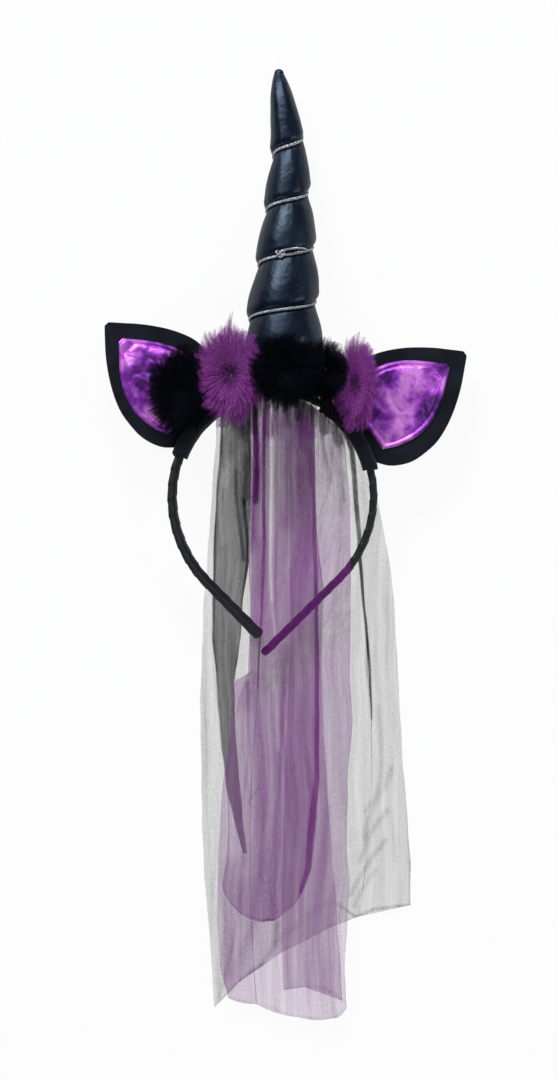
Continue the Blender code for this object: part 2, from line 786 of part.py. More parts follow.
def edge_point(ply, distance, side):
    """A point on a ply's left (1) or right (2) edge, across and down, at a distance from its top."""
    top = gather_edge(ply.width * ply.edges[0][side])
    drop = ply.drop_left if side == 1 else ply.drop_right
    across = ply.width * read_table(ply.edges, side, distance / (drop - top))
    return across, top + distance


def fall_point(ply, share, side):
    """A point on an edge below the gather, at a share of the way from it to the hem."""
    top = gather_edge(ply.width * ply.edges[0][side])
    drop = ply.drop_left if side == 1 else ply.drop_right
    return edge_point(ply, GATHER_ROWS[-1] + (drop - top - GATHER_ROWS[-1]) * share, side)


def gather_point(ply, share_across, distance):
    """A point of a ply in its gather, as distance across and down. Its rows run along the hoop's inside."""
    left, _ = edge_point(ply, distance, 1)
    right, _ = edge_point(ply, distance, 2)
    across = left + (right - left) * share_across
    return across, gather_edge(across) + distance


def hem_point(ply, share_across, share):
    """A point of a ply between its gather and its hem, as distance across and down."""
    left, right = fall_point(ply, share, 1), fall_point(ply, share, 2)
    across = left[0] + (right[0] - left[0]) * share_across
    hem = ply.drop_left + (ply.drop_right - ply.drop_left) * share_across
    hem += ply.hem_bow * 4 * share_across * (1 - share_across)
    _, start = gather_point(ply, share_across, GATHER_ROWS[-1])
    return across, start + (hem - start) * share


def tent_height(across, down):
    """Height that keeps the top ply over the right arm where it passes above it."""
    arm = right_arm_stations()[TENT_START:]
    point = Vector((across, -down))
    highest = 0.0
    for start, end in zip(arm, arm[1:]):
        a, b = start.place.xy, end.place.xy
        t = min(1.0, max(0.0, (point - a).dot(b - a) / (b - a).length_squared))
        away = (point - a.lerp(b, t)).length
        top = start.place.z + (end.place.z - start.place.z) * t + half_height(end.roll) + SEAT_GAP
        highest = max(highest, top - TENT_SLOPE * max(0.0, away - TENT_FLAT))
    return highest


def ply_height(ply, across, down):
    """Height of a ply's underside at a point in plan."""
    lift = GATHER_LIFT * (1 - smoothstep(0.0, GATHER_RUN, down - gather_edge(across)))
    height = lift + ply_level(ply.level)
    if ply is PURPLE_WIDE:
        height = max(height, tent_height(across, down))
    return height


def build_ply(name, ply):
    """A ply of tulle as one closed sheet."""
    bm = bmesh.new()
    grid = []
    rows = [(gather_point, distance) for distance in GATHER_ROWS]
    rows += [(hem_point, share) for share in ply.stations]
    for place, value in rows:
        row = []
        for column in range(ply.columns + 1):
            across, down = place(ply, column / ply.columns, value)
            row.append(bm.verts.new((across, -down, ply_height(ply, across, down))))
        grid.append(row)
    for upper, lower in zip(grid, grid[1:]):
        for i in range(ply.columns):
            bm.faces.new((upper[i], lower[i], lower[i + 1], upper[i + 1]))
    made = bmesh.ops.extrude_face_region(bm, geom=bm.faces[:])["geom"]
    raised = [item for item in made if isinstance(item, bmesh.types.BMVert)]
    bmesh.ops.translate(bm, verts=raised, vec=(0, 0, PLY))
    return finish_mesh(name, bm, f"{ply.colour} tulle")


def centre_over_origin(pieces):
    """Parent the pieces to an empty that sets the middle of their outline over the origin."""
    bpy.context.view_layer.update()
    corners = [piece.matrix_world @ Vector(corner) for piece in pieces for corner in piece.bound_box]
    low = Vector(min(corner[i] for corner in corners) for i in range(3))
    high = Vector(max(corner[i] for corner in corners) for i in range(3))
    frame = bpy.data.objects.new("headband_frame", None)
    bpy.context.scene.collection.objects.link(frame)
    frame.location = (-(low.x + high.x) / 2, -(low.y + high.y) / 2, -low.z)
    for piece in pieces:
        piece.parent = frame


def main():
    """Build every piece about the crown, then centre the whole over the origin."""
    for old in list(bpy.data.objects):
        bpy.data.objects.remove(old, do_unlink=True)
    pieces = [build_headband(), build_horn(), build_horn_cord()]
    for side, ear in (("left", LEFT_EAR), ("right", RIGHT_EAR)):
        pieces.append(build_sleeve(f"ear_sleeve_{side}", ear))
        pieces.append(build_ear(f"ear_{side}", ear))
        pieces.append(build_inset(f"ear_inset_{side}", ear))
    pieces += [build_rosette(name, rosette) for name, rosette in ROSETTES.items()]
    pieces += [build_ply(name, ply) for name, ply in PLIES.items()]
    centre_over_origin(pieces)


main()
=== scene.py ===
"""Unicorn horn headband: a satin hoop with a stuffed spiral horn, felt ears with foil insets, tulle
pompoms and a two-colour tulle veil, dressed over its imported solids.

The pieces are laid out about the middle of the crown, which is the top of the hoop: across it to the
right, down it towards the veil's hem, and up off the floor. CROWN moves that point to its place in the
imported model. The tables are in millimetres, some of them worked out from points on the photograph,
and everything else is in metres.
"""
import logging
import math
import random
from collections.abc import Callable, Sequence
from dataclasses import dataclass, field
from enum import Enum
from functools import cached_property
from typing import ClassVar

import bmesh
import bpy
from mathutils import Matrix, Vector, noise


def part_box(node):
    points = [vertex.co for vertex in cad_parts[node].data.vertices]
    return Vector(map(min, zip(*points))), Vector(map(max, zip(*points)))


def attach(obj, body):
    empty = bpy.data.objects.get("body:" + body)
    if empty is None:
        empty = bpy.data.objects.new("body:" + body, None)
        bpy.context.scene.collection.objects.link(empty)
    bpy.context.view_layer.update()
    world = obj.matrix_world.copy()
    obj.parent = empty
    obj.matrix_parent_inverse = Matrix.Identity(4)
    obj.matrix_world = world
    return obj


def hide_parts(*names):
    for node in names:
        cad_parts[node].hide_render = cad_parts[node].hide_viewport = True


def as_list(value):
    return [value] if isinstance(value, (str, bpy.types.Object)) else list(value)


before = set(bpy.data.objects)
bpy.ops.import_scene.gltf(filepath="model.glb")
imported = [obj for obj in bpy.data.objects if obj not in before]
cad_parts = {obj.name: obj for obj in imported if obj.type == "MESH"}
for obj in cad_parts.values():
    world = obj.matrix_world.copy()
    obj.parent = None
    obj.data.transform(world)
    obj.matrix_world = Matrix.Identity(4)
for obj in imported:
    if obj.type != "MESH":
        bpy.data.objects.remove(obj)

LOG = logging.getLogger("headband")
CROWN = Vector((-0.00702, 0.083304, 0.0))
MM = 0.001
PHOTO_SCALE = 0.55
CROWN_COLUMN = 273
CROWN_ROW = 391
BODY = "root"
STRAND_SIDES = 6
SLEEVE_GRID = (36, 46)
FELT_GRID = (56, 70)
INSET_GRID = (110, 140)
WISP_LENGTH = 0.015
Socket = bpy.types.NodeSocket
NodeTree = bpy.types.NodeTree
Node = bpy.types.Node
Piece = bpy.types.Object
Finish = bpy.types.Material
Mesh = bmesh.types.BMesh
Colour = tuple[float, float, float]
Place = Callable[[float, float], Vector]
Table = Sequence[tuple[float, ...]]


def smoothstep(start: float, end: float, value: float) -> float:
    """Rise smoothly from 0 at start to 1 at end."""
    share = min(1.0, max(0.0, (value - start) / (end - start)))
    return share * share * (3.0 - 2.0 * share)


def read_table(rows: Table, column: int, place: float) -> float:
    """Read a table between its rows, along a smooth curve through them.

    Args:
        rows: The rows, in rising order of their first column.
        column: Which column to read.
        place: Where to read it, as a value of the first column.

    Returns:
        The value there, held level past either end.
    """
    last = len(rows) - 1
    if place <= rows[0][0]:
        return rows[0][column]
    if place >= rows[last][0]:
        return rows[last][column]
    index = max(i for i in range(last) if rows[i][0] <= place)
    slopes = []
    for i in (index, index + 1):
        before, after = rows[max(0, i - 1)], rows[min(last, i + 1)]
        slopes.append((after[column] - before[column]) / (after[0] - before[0]))
    left, right = rows[index], rows[index + 1]
    span = right[0] - left[0]
    t = (place - left[0]) / span
    return (
        left[column] * (1 + 2 * t) * (1 - t) ** 2
        + right[column] * t * t * (3 - 2 * t)
        + span * slopes[0] * t * (1 - t) ** 2
        - span * slopes[1] * t * t * (1 - t)
    )


def read_line(rows: Table, down: float) -> float:
    """Read a two-column table at a distance down, in straight steps between its rows.

    Args:
        rows: Rows of a distance down and a value.
        down: Where to read them.

    Returns:
        The value there, held level past either end.
    """
    if down <= rows[0][0]:
        return rows[0][1]
    for before, after in zip(rows, rows[1:]):
        if down <= after[0]:
            return before[1] + (after[1] - before[1]) * (down - before[0]) / (after[0] - before[0])
    return rows[-1][1]


def traced(*points: tuple[float, float]) -> Table:
    """Turn points chosen on the photograph into places on the veil.

    Args:
        points: Their columns and rows.

    Returns:
        Their distances down and across from the crown, in millimetres.
    """
    return tuple(
        (round((row - CROWN_ROW) * PHOTO_SCALE, 1), round((column - CROWN_COLUMN) * PHOTO_SCALE, 1))
        for column, row in points
    )


def rough(place: Vector, scale: float, seed: float = 0.0) -> float:
    """Smooth noise from -1 to 1 at a point, with features of about one scale in size."""
    return noise.noise(place / scale + Vector((seed, -seed, 0.5 * seed)))


def shaped_grid(columns: int, rows: int, place: Place, closed: bool = False) -> Mesh:
    """Move a unit grid onto a surface.

    Args:
        columns: Faces across.
        rows: Faces along.
        place: Gives the point for a share across and a share along.
        closed: Whether its sides and ends meet, so that seams and poles are closed up.

    Returns:
        The mesh, with its shares as its UV map.
    """
    bm = bmesh.new()
    bm.loops.layers.uv.new("UVMap")
    bmesh.ops.create_grid(bm, x_segments=columns, y_segments=rows, size=0.5, calc_uvs=True)
    for vertex in bm.verts:
        vertex.co = place(vertex.co.x + 0.5, vertex.co.y + 0.5)
    if closed:
        bmesh.ops.remove_doubles(bm, verts=bm.verts, dist=1e-6)
        bmesh.ops.recalc_face_normals(bm, faces=bm.faces)
    return bm


def join(parts: Sequence[Mesh]) -> Mesh:
    """Join meshes into the first of them, and free the others.

    Args:
        parts: The meshes.

    Returns:
        The first, with the faces of all.
    """
    whole = parts[0]
    for part in parts[1:]:
        holder = bpy.data.meshes.new("joined")
        part.to_mesh(holder)
        part.free()
        whole.from_mesh(holder)
        bpy.data.meshes.remove(holder)
    return whole


def add_piece(name: str, bm: Mesh, material: Finish, slot: str, nodes: Sequence[str] = ()) -> Piece:
    """Turn a mesh into a named piece that rides on the headband.

    Args:
        name: The piece's name.
        bm: Its mesh, which is freed.
        material: Its material.
        slot: The record's material slot that it stands for; not used.
        nodes: The CAD nodes that it stands for.

    Returns:
        The piece.
    """
    mesh = bpy.data.meshes.new(name)
    bm.to_mesh(mesh)
    bm.free()
    mesh.shade_smooth()
    mesh.materials.append(material)
    piece = bpy.data.objects.new(name, mesh)
    bpy.context.scene.collection.objects.link(piece)
    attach(piece, BODY)
    if nodes:
        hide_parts(*nodes)
    return piece


def declare_sheet(length: float, rests_on: Sequence[str]) -> None:
    """Take the pieces that a sheet of cloth rests on as a list, which is not kept.

    Args:
        length: Its length along the thread; not used.
        rests_on: The pieces that it rests on.
    """
    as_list(rests_on)


# Materials


def srgb(red: int, green: int, blue: int) -> Colour:
    """A linear colour from the values of 0 to 255 that a screen shows."""
    shares = (value / 255 for value in (red, green, blue))
    return tuple(s / 12.92 if s <= 0.04045 else ((s + 0.055) / 1.055) ** 2.4 for s in shares)


class Tree:
    """A node tree with short ways to add and link its nodes."""

    def __init__(self, tree: NodeTree) -> None:
        """Take over a node tree."""
        self.tree = tree

    def node(self, kind: str, **settings: object) -> Node:
        """Add a node.

        Args:
            kind: The node's type without its ShaderNode prefix.
            settings: Properties to set on it.

        Returns:
            The node.
        """
        made = self.tree.nodes.new(kind if kind.startswith("Node") else f"ShaderNode{kind}")
        for key, value in settings.items():
            setattr(made, key, value)
        return made

    def feed(self, socket: Socket, value: object) -> None:
        """Link an input to a socket, or set it to a number, vector or colour.

        Args:
            socket: The input.
            value: An output socket, or the value to set.
        """
        if isinstance(value, Socket):
            self.tree.links.new(value, socket)
        elif isinstance(value, tuple) and len(value) == 3 and len(socket.default_value) == 4:
            socket.default_value = (*value, 1.0)
        else:
            socket.default_value = value

    def maths(self, operation: str, *values: object, clamp: bool = False) -> Socket:
        """Add a Math node.

        Args:
            operation: What it computes.
            values: Its inputs in order.
            clamp: Whether the result is held between 0 and 1.

        Returns:
            Its result.
        """
        made = self.node("Math", operation=operation, use_clamp=clamp)
        for socket, value in zip(made.inputs, values):
            self.feed(socket, value)
        return made.outputs[0]

    def vector(self, operation: str, *values: object) -> Socket:
        """Add a Vector Math node.

        Args:
            operation: What it computes.
            values: Its inputs in order.

        Returns:
            Its result.
        """
        made = self.node("VectorMath", operation=operation)
        for socket, value in zip(made.inputs, values):
            self.feed(socket, value)
        return made.outputs["Value" if operation == "DOT_PRODUCT" else "Vector"]

    def noise(self, place: object, scale: float, detail: float = 2.0, rough: float = 0.5) -> Socket:
        """Add a Noise Texture.

        Args:
            place: Its coordinates.
            scale: Its features per metre.
            detail: How many finer layers it has.
            rough: How strong each finer layer is.

        Returns:
            Its value, which is about 0.5 on the whole.
        """
        made = self.node("TexNoise")
        self.feed(made.inputs["Vector"], place)
        made.inputs["Scale"].default_value = scale
        made.inputs["Detail"].default_value = detail
        made.inputs["Roughness"].default_value = rough
        return made.outputs[0]

    def stretch(self, place: object, scale: tuple[float, float, float]) -> Socket:
        """Stretch coordinates through a Mapping node.

        Args:
            place: The coordinates.
            scale: What each of them is multiplied by.

        Returns:
            The stretched coordinates.
        """
        made = self.node("Mapping")
        self.feed(made.inputs["Vector"], place)
        made.inputs["Scale"].default_value = scale
        return made.outputs[0]

    def span(self, value: object, low: float, high: float, to_low: float, to_high: float) -> Socket:
        """Map a range of a value onto another.

        Args:
            value: The value.
            low: Start of its range.
            high: End of its range.
            to_low: What its start becomes.
            to_high: What its end becomes.

        Returns:
            The new value, held within the new range.
        """
        made = self.node("MapRange")
        for socket, setting in zip(made.inputs, (value, low, high, to_low, to_high)):
            self.feed(socket, setting)
        return made.outputs[0]

    def blend(self, share: object, first: object, second: object) -> Socket:
        """Mix two colours.

        Args:
            share: How much of the second.
            first: One colour.
            second: The other.

        Returns:
            The mixed colour.
        """
        made = self.node("Mix", data_type="RGBA")
        self.feed(made.inputs[0], share)
        self.feed(made.inputs[6], first)
        self.feed(made.inputs[7], second)
        return made.outputs[2]

    def ramp(self, value: object, stops: Sequence[tuple[float, Colour]]) -> Socket:
        """Add a colour ramp.

        Args:
            value: Where to read it.
            stops: Its positions with their colours.

        Returns:
            Its colour.
        """
        made = self.node("ValToRGB")
        self.feed(made.inputs[0], value)
        elements = made.color_ramp.elements
        while len(elements) < len(stops):
            elements.new(0.5)
        for element, (place, colour) in zip(elements, stops):
            element.position = place
            element.color = (*colour, 1.0)
        return made.outputs[0]

    def group(self, group: NodeTree, **values: object) -> Node:
        """Place a node group and feed its inputs.

        Args:
            group: The group.
            values: Its inputs by name.

        Returns:
            The node.
        """
        made = self.node("Group", node_tree=group)
        for key, value in values.items():
            self.feed(made.inputs[key], value)
        return made


def new_group(
    name: str, inputs: Sequence[tuple[str, str]], outputs: Sequence[tuple[str, str]]
) -> tuple[NodeTree, Tree, Node, Node]:
    """Start a shader node group.

    Args:
        name: The group's name.
        inputs: Names and kinds of its inputs, each kind Float, Vector or Color.
        outputs: Names and kinds of its outputs.

    Returns:
        The group, its tree, its input node and its output node.
    """
    group = bpy.data.node_groups.new(name, "ShaderNodeTree")
    for side, sockets in (("INPUT", inputs), ("OUTPUT", outputs)):
        for label, kind in sockets:
            group.interface.new_socket(label, in_out=side, socket_type=f"NodeSocket{kind}")
    tree = Tree(group)
    return group, tree, tree.node("NodeGroupInput"), tree.node("NodeGroupOutput")


def net_group() -> NodeTree:
    """The hexagonal mesh of tulle: a mask that is 1 on its threads.

    Returns:
        The group.
    """
    inputs = [("Place", "Vector"), ("Pitch", "Float"), ("Thread", "Float")]
    group, tree, start, end = new_group("tulle net", inputs, [("Mask", "Float")])
    place, pitch, thread = (start.outputs[i] for i in range(3))
    strands = []
    for turn in (0.0, 60.0, 120.0):
        way = (math.cos(math.radians(turn)), math.sin(math.radians(turn)), 0.0)
        count = tree.maths("DIVIDE", tree.vector("DOT_PRODUCT", place, way), pitch)
        away = tree.maths("PINGPONG", count, 0.5)
        strands.append(tree.maths("SUBTRACT", 1.0, tree.maths("DIVIDE", away, thread), clamp=True))
    widest = tree.maths("MAXIMUM", tree.maths("MAXIMUM", strands[0], strands[1]), strands[2])
    tree.feed(end.inputs[0], widest)
    return group


def fibre_group() -> NodeTree:
    """Tangled short fibres: a height and a mask of stray light fibres.

    Returns:
        The group.
    """
    inputs = [("Place", "Vector"), ("Density", "Float")]
    group, tree, start, end = new_group("fibres", inputs, [("Height", "Float"), ("Stray", "Float")])
    place, density = start.outputs[0], start.outputs[1]
    tangle = tree.node("TexNoise")
    tangle.inputs["Detail"].default_value = 4.0
    tangle.inputs["Distortion"].default_value = 1.6
    tree.feed(tangle.inputs["Vector"], place)
    tree.feed(tangle.inputs["Scale"], density)
    finer = tree.node("TexNoise")
    finer.inputs["Detail"].default_value = 2.0
    tree.feed(finer.inputs["Vector"], place)
    tree.feed(finer.inputs["Scale"], tree.maths("MULTIPLY", density, 3.1))
    tree.feed(end.inputs[0], tree.maths("MULTIPLY_ADD", finer.outputs[0], 0.5, tangle.outputs[0]))
    tree.feed(end.inputs[1], tree.span(finer.outputs[0], 0.58, 0.72, 0.0, 1.0))
    return group


def crinkle_group() -> NodeTree:
    """Creased film: a height of facets between sharp ridges, and a mask of its larger folds.

    Returns:
        The group.
    """
    inputs = [("Place", "Vector"), ("Size", "Float")]
    group, tree, start, end = new_group("crinkle", inputs, [("Height", "Float"), ("Fold", "Float")])
    place, size = start.outputs[0], start.outputs[1]
    bent = tree.node("TexNoise")
    tree.feed(bent.inputs["Vector"], place)
    tree.feed(bent.inputs["Scale"], tree.maths("MULTIPLY", size, 0.6))
    bent.inputs["Detail"].default_value = 3.0
    moved = tree.vector("MULTIPLY_ADD", bent.outputs["Color"], (0.012, 0.012, 0.012), place)
    cells = tree.node("TexVoronoi", feature="F1")
    tree.feed(cells.inputs["Vector"], moved)
    tree.feed(cells.inputs["Scale"], size)
    small = tree.node("TexVoronoi", feature="F1")
    tree.feed(small.inputs["Vector"], moved)
    tree.feed(small.inputs["Scale"], tree.maths("MULTIPLY", size, 2.7))
    height = tree.maths("MULTIPLY_ADD", small.outputs["Distance"], 0.4, cells.outputs["Distance"])
    tree.feed(end.inputs[0], height)
    tree.feed(end.inputs[1], tree.span(bent.outputs[0], 0.38, 0.64, 0.0, 1.0))
    return group


class Groups:
    """The node groups that several materials share, each built once."""

    @cached_property
    def net(self) -> NodeTree:
        """The tulle's mesh."""
        return net_group()

    @cached_property
    def fibre(self) -> NodeTree:
        """Felt fibres, and the fuzz of the cord."""
        return fibre_group()

    @cached_property
    def crinkle(self) -> NodeTree:
        """Foil creases, and the faux leather's wrinkles."""
        return crinkle_group()


GROUPS = Groups()


def start_material(name: str) -> tuple[Finish, Tree, Node]:
    """Start a material.

    Args:
        name: The material's name.

    Returns:
        The material, its tree and its Principled shader.
    """
    material = bpy.data.materials.new(name)
    material.use_nodes = True
    return material, Tree(material.node_tree), material.node_tree.nodes["Principled BSDF"]


def add_bump(tree: Tree, shader: Node, height: object, distance: float, strength: float) -> None:
    """Bump a shader by a height.

    Args:
        tree: The material's tree.
        shader: Its shader.
        height: The height's socket.
        distance: How deep the height goes, in metres.
        strength: How strongly it shows.
    """
    bump = tree.node("Bump")
    bump.inputs["Strength"].default_value = strength
    bump.inputs["Distance"].default_value = distance
    tree.feed(bump.inputs["Height"], height)
    tree.feed(shader.inputs["Normal"], bump.outputs[0])


@dataclass(frozen=True)
class FauxLeather:
    """The horn's coated fabric: near black, soft gloss, fine pebble and puckers."""

    name: str = "faux leather"
    dark: Colour = srgb(1, 4, 18)
    worn: Colour = srgb(5, 13, 30)
    tint: Colour = (0.52, 0.72, 1.0)
    gloss: tuple[float, float] = (0.31, 0.44)

    def build(self) -> Finish:
        """Make the material.

        Returns:
            The material.
        """
        material, tree, shader = start_material(self.name)
        place = tree.node("TexCoord").outputs["Object"]
        cloudy = tree.noise(place, 60.0, 3.0)
        pebble = tree.noise(place, 1900.0, 2.0, 0.6)
        creased = tree.group(GROUPS.crinkle, Place=place, Size=130.0)
        worn = tree.span(cloudy, 0.35, 0.75, 0.0, 1.0)
        tree.feed(shader.inputs["Base Color"], tree.blend(worn, self.dark, self.worn))
        tree.feed(shader.inputs["Roughness"], tree.span(cloudy, 0.3, 0.7, *self.gloss))
        puckers = tree.maths("MULTIPLY", creased.outputs["Height"], 0.55)
        add_bump(tree, shader, tree.maths("MULTIPLY_ADD", pebble, 0.10, puckers), 0.00045, 0.8)
        shader.inputs["Specular IOR Level"].default_value = 0.46
        shader.inputs["Specular Tint"].default_value = (*self.tint, 1.0)
        shader.inputs["Coat Weight"].default_value = 0.05
        shader.inputs["Coat Roughness"].default_value = 0.18
        return material


@dataclass(frozen=True)
class Yarn:
    """The horn's cord: metallised silver yarn, with painted glints on its fibres and painted shade between
    them.
    """

    name: str = "silver yarn"
    painted_highlight: Colour = srgb(226, 228, 234)
    painted_gap_shade: Colour = srgb(96, 98, 108)

    def build(self) -> Finish:
        """Make the material.

        Returns:
            The material.
        """
        material, tree, shader = start_material(self.name)
        place = tree.node("TexCoord").outputs["Object"]
        fibre = tree.group(GROUPS.fibre, Place=place, Density=2600.0)
        glint = tree.noise(place, 1500.0, 2.0)
        # The noise lightens the base colour in specks as painted glints and darkens it elsewhere as painted
        # shade between the fibres; it also varies the metallic share.
        painted_glint = tree.span(glint, 0.35, 0.6, 0.0, 1.0)
        tree.feed(shader.inputs["Base Color"], tree.blend(painted_glint, self.painted_gap_shade, self.painted_highlight))
        tree.feed(shader.inputs["Metallic"], tree.span(glint, 0.4, 0.6, 0.45, 0.9))
        shader.inputs["Roughness"].default_value = 0.34
        add_bump(tree, shader, fibre.outputs["Height"], 0.00012, 0.7)
        return material


@dataclass(frozen=True)
class Satin:
    """The hoop's ribbon: fine warp ridges under a soft gloss."""

    name: str = "satin ribbon"
    dark: Colour = srgb(4, 6, 11)
    light: Colour = srgb(16, 18, 28)

    def build(self) -> Finish:
        """Make the material.

        Returns:
            The material.
        """
        material, tree, shader = start_material(self.name)
        coordinates = tree.node("TexCoord")
        place, shares = coordinates.outputs["Object"], coordinates.outputs["UV"]
        warp = tree.noise(tree.stretch(shares, (60.0, 1400.0, 1.0)), 1.0, 1.0)
        cloudy = tree.noise(place, 90.0, 2.0)
        faded = tree.span(cloudy, 0.4, 0.7, 0.0, 1.0)
        tree.feed(shader.inputs["Base Color"], tree.blend(faded, self.dark, self.light))
        tree.feed(shader.inputs["Roughness"], tree.span(warp, 0.3, 0.7, 0.42, 0.60))
        shader.inputs["Anisotropic"].default_value = 0.4
        shader.inputs["Sheen Weight"].default_value = 0.04
        add_bump(tree, shader, warp, 0.00010, 0.5)
        return material


@dataclass(frozen=True)
class Felt:
    """The ears' felt: matted fibres with a little lint standing off them."""

    name: str = "felt"
    dark: Colour = srgb(6, 10, 18)
    light: Colour = srgb(20, 26, 36)
    lint: Colour = srgb(50, 56, 68)

    def build(self) -> Finish:
        """Make the material.

        Returns:
            The material.
        """
        material, tree, shader = start_material(self.name)
        place = tree.node("TexCoord").outputs["Object"]
        fibre = tree.group(GROUPS.fibre, Place=place, Density=900.0)
        cloudy = tree.noise(place, 70.0, 3.0)
        felted = tree.blend(tree.span(cloudy, 0.35, 0.68, 0.0, 1.0), self.dark, self.light)
        share = tree.maths("MULTIPLY", fibre.outputs["Stray"], 0.35)
        tree.feed(shader.inputs["Base Color"], tree.blend(share, felted, self.lint))
        shader.inputs["Roughness"].default_value = 0.94
        shader.inputs["Specular IOR Level"].default_value = 0.2
        shader.inputs["Sheen Weight"].default_value = 0.12
        shader.inputs["Sheen Roughness"].default_value = 0.5
        add_bump(tree, shader, fibre.outputs["Height"], 0.0004, 0.8)
        return material


@dataclass(frozen=True)
class Foil:
    """The ears' insets: purple metallised film over cloth, creased all over, with painted reflection in its
    colour.
    """

    name: str = "purple foil"
    # The ramp runs from painted shade through the foil's own purple to the two lightest colours, which are
    # painted highlights.
    deep: Colour = srgb(84, 28, 118)
    middle: Colour = srgb(160, 64, 200)
    light: Colour = srgb(204, 104, 232)
    painted_highlight: Colour = srgb(240, 150, 250)

    def build(self) -> Finish:
        """Make the material.

        Returns:
            The material.
        """
        material, tree, shader = start_material(self.name)
        place = tree.node("TexCoord").outputs["Object"]
        creased = tree.group(GROUPS.crinkle, Place=place, Size=62.0)
        # The purple is the foil's own colour; the ramp's dark and light patches, which follow the broad
        # noise and the larger folds, are painted reflection.
        wide = tree.noise(place, 74.0, 4.0, 0.6)
        broad = tree.maths("MULTIPLY_ADD", wide, 1.3, -0.18)
        painted_reflection = tree.maths("MULTIPLY_ADD", creased.outputs["Fold"], 0.26, broad)
        stops = [(0.32, self.deep), (0.50, self.middle), (0.62, self.light), (0.78, self.painted_highlight)]
        tree.feed(shader.inputs["Base Color"], tree.ramp(painted_reflection, stops))
        tree.feed(shader.inputs["Roughness"], tree.span(wide, 0.3, 0.7, 0.34, 0.50))
        tree.feed(shader.inputs["Metallic"], tree.span(creased.outputs["Fold"], 0.0, 1.0, 0.46, 0.70))
        add_bump(tree, shader, creased.outputs["Height"], 0.0012, 0.40)
        return material


@dataclass(frozen=True)
class Tulle:
    """Net cloth, which hides more of what is behind it where it is bunched, and is painted darker there as
    shade.

    Its cover and packed are the shares that it hides where it lies flat and where it is bunched most,
    pitch is the size of its mesh, shade how far its colour is painted darker as shade in a bunch, and
    streaks how strongly its fine lengthwise creases show.
    """

    name: str
    thread: Colour
    pale: Colour
    cover: float
    packed: float = 0.93
    pitch: float = 0.0010
    sheen: float = 0.10
    shade: float = 0.70
    gloss: float = 0.15
    streaks: float = 0.21

    def build(self) -> Finish:
        """Make the material.

        Returns:
            The material.
        """
        material, tree, shader = start_material(self.name)
        place = tree.node("TexCoord").outputs["Object"]
        net = tree.group(GROUPS.net, Place=place, Pitch=self.pitch, Thread=0.22)
        bunch = tree.node("Attribute", attribute_name="bunch").outputs["Fac"]
        more = tree.maths("MULTIPLY", tree.maths("MAXIMUM", bunch, 0.0), self.packed - self.cover)
        less = tree.maths("MULTIPLY", tree.maths("MINIMUM", bunch, 0.0), self.cover)
        cover = tree.maths("ADD", tree.maths("ADD", more, less), self.cover)
        weave = tree.maths("MULTIPLY_ADD", net.outputs["Mask"], 0.40, 0.82)
        cloudy = tree.noise(place, 900.0, 3.0, 0.7)
        mottled = tree.maths("MULTIPLY", weave, tree.span(cloudy, 0.3, 0.7, 0.80, 1.20))
        swayed = tree.vector("MULTIPLY_ADD", tree.noise(place, 9.0), (0.016, 0.0, 0.0), place)
        streak = tree.noise(tree.stretch(swayed, (1.0, 0.05, 1.0)), 230.0, 3.0, 0.6)
        pleated = tree.span(streak, 0.34, 0.66, 1.0 - self.streaks, 1.0 + self.streaks)
        uneven = tree.maths("MULTIPLY", mottled, pleated)
        solid = tree.span(bunch, 0.55, 0.95, 0.0, 0.45)
        hidden = tree.maths("MULTIPLY_ADD", cover, uneven, solid, clamp=True)
        tree.feed(shader.inputs["Alpha"], hidden)
        lit = tree.blend(tree.span(cloudy, 0.4, 0.75, 0.0, 1.0), self.thread, self.pale)
        # Bunched net is pulled towards a dark core colour: painted shade of its layers on each other.
        core = tuple(0.12 * value for value in self.thread)
        painted_shade_share = tree.span(bunch, 0.30, 0.95, 0.0, self.shade)
        tree.feed(shader.inputs["Base Color"], tree.blend(painted_shade_share, lit, core))
        shader.inputs["Roughness"].default_value = 0.65
        shader.inputs["Sheen Weight"].default_value = self.sheen
        shader.inputs["Specular IOR Level"].default_value = self.gloss
        return material


class Net(Enum):
    """The two colours of tulle."""

    BLACK = "black"
    PURPLE = "purple"


LAID_NETS = {
    Net.BLACK: Tulle("black net", srgb(8, 11, 22), srgb(26, 29, 42), 0.33),
    Net.PURPLE: Tulle("purple net", srgb(124, 22, 134), srgb(160, 58, 166), 0.41),
}
BUNCHED_NETS = {
    Net.BLACK: Tulle(
        "black bunched net", srgb(1, 3, 12), srgb(5, 9, 24), 0.50,
        pitch=0.0009, sheen=0.01, gloss=0.05, streaks=0.0,
    ),
    Net.PURPLE: Tulle(
        "purple bunched net", srgb(132, 36, 142), srgb(190, 100, 196), 0.42,
        pitch=0.0009, shade=0.90, streaks=0.0,
    ),
}


# Horn

# Shares of the horn's length: how far along, and how far to the side. Then share of its full radius
HORN_SECTIONS: Table = (
    (0.000, 0.000, 0.72),
    (0.012, 0.000, 0.86),
    (0.030, 0.000, 0.95),
    (0.060, 0.000, 0.99),
    (0.150, -0.001, 1.00),
    (0.240, -0.003, 0.945),
    (0.360, 0.006, 0.840),
    (0.480, 0.010, 0.735),
    (0.600, 0.013, 0.610),
    (0.700, 0.014, 0.520),
    (0.780, 0.011, 0.445),
    (0.866, 0.000, 0.355),
    (0.920, -0.008, 0.285),
    (0.960, -0.013, 0.200),
    (0.985, -0.016, 0.125),
)


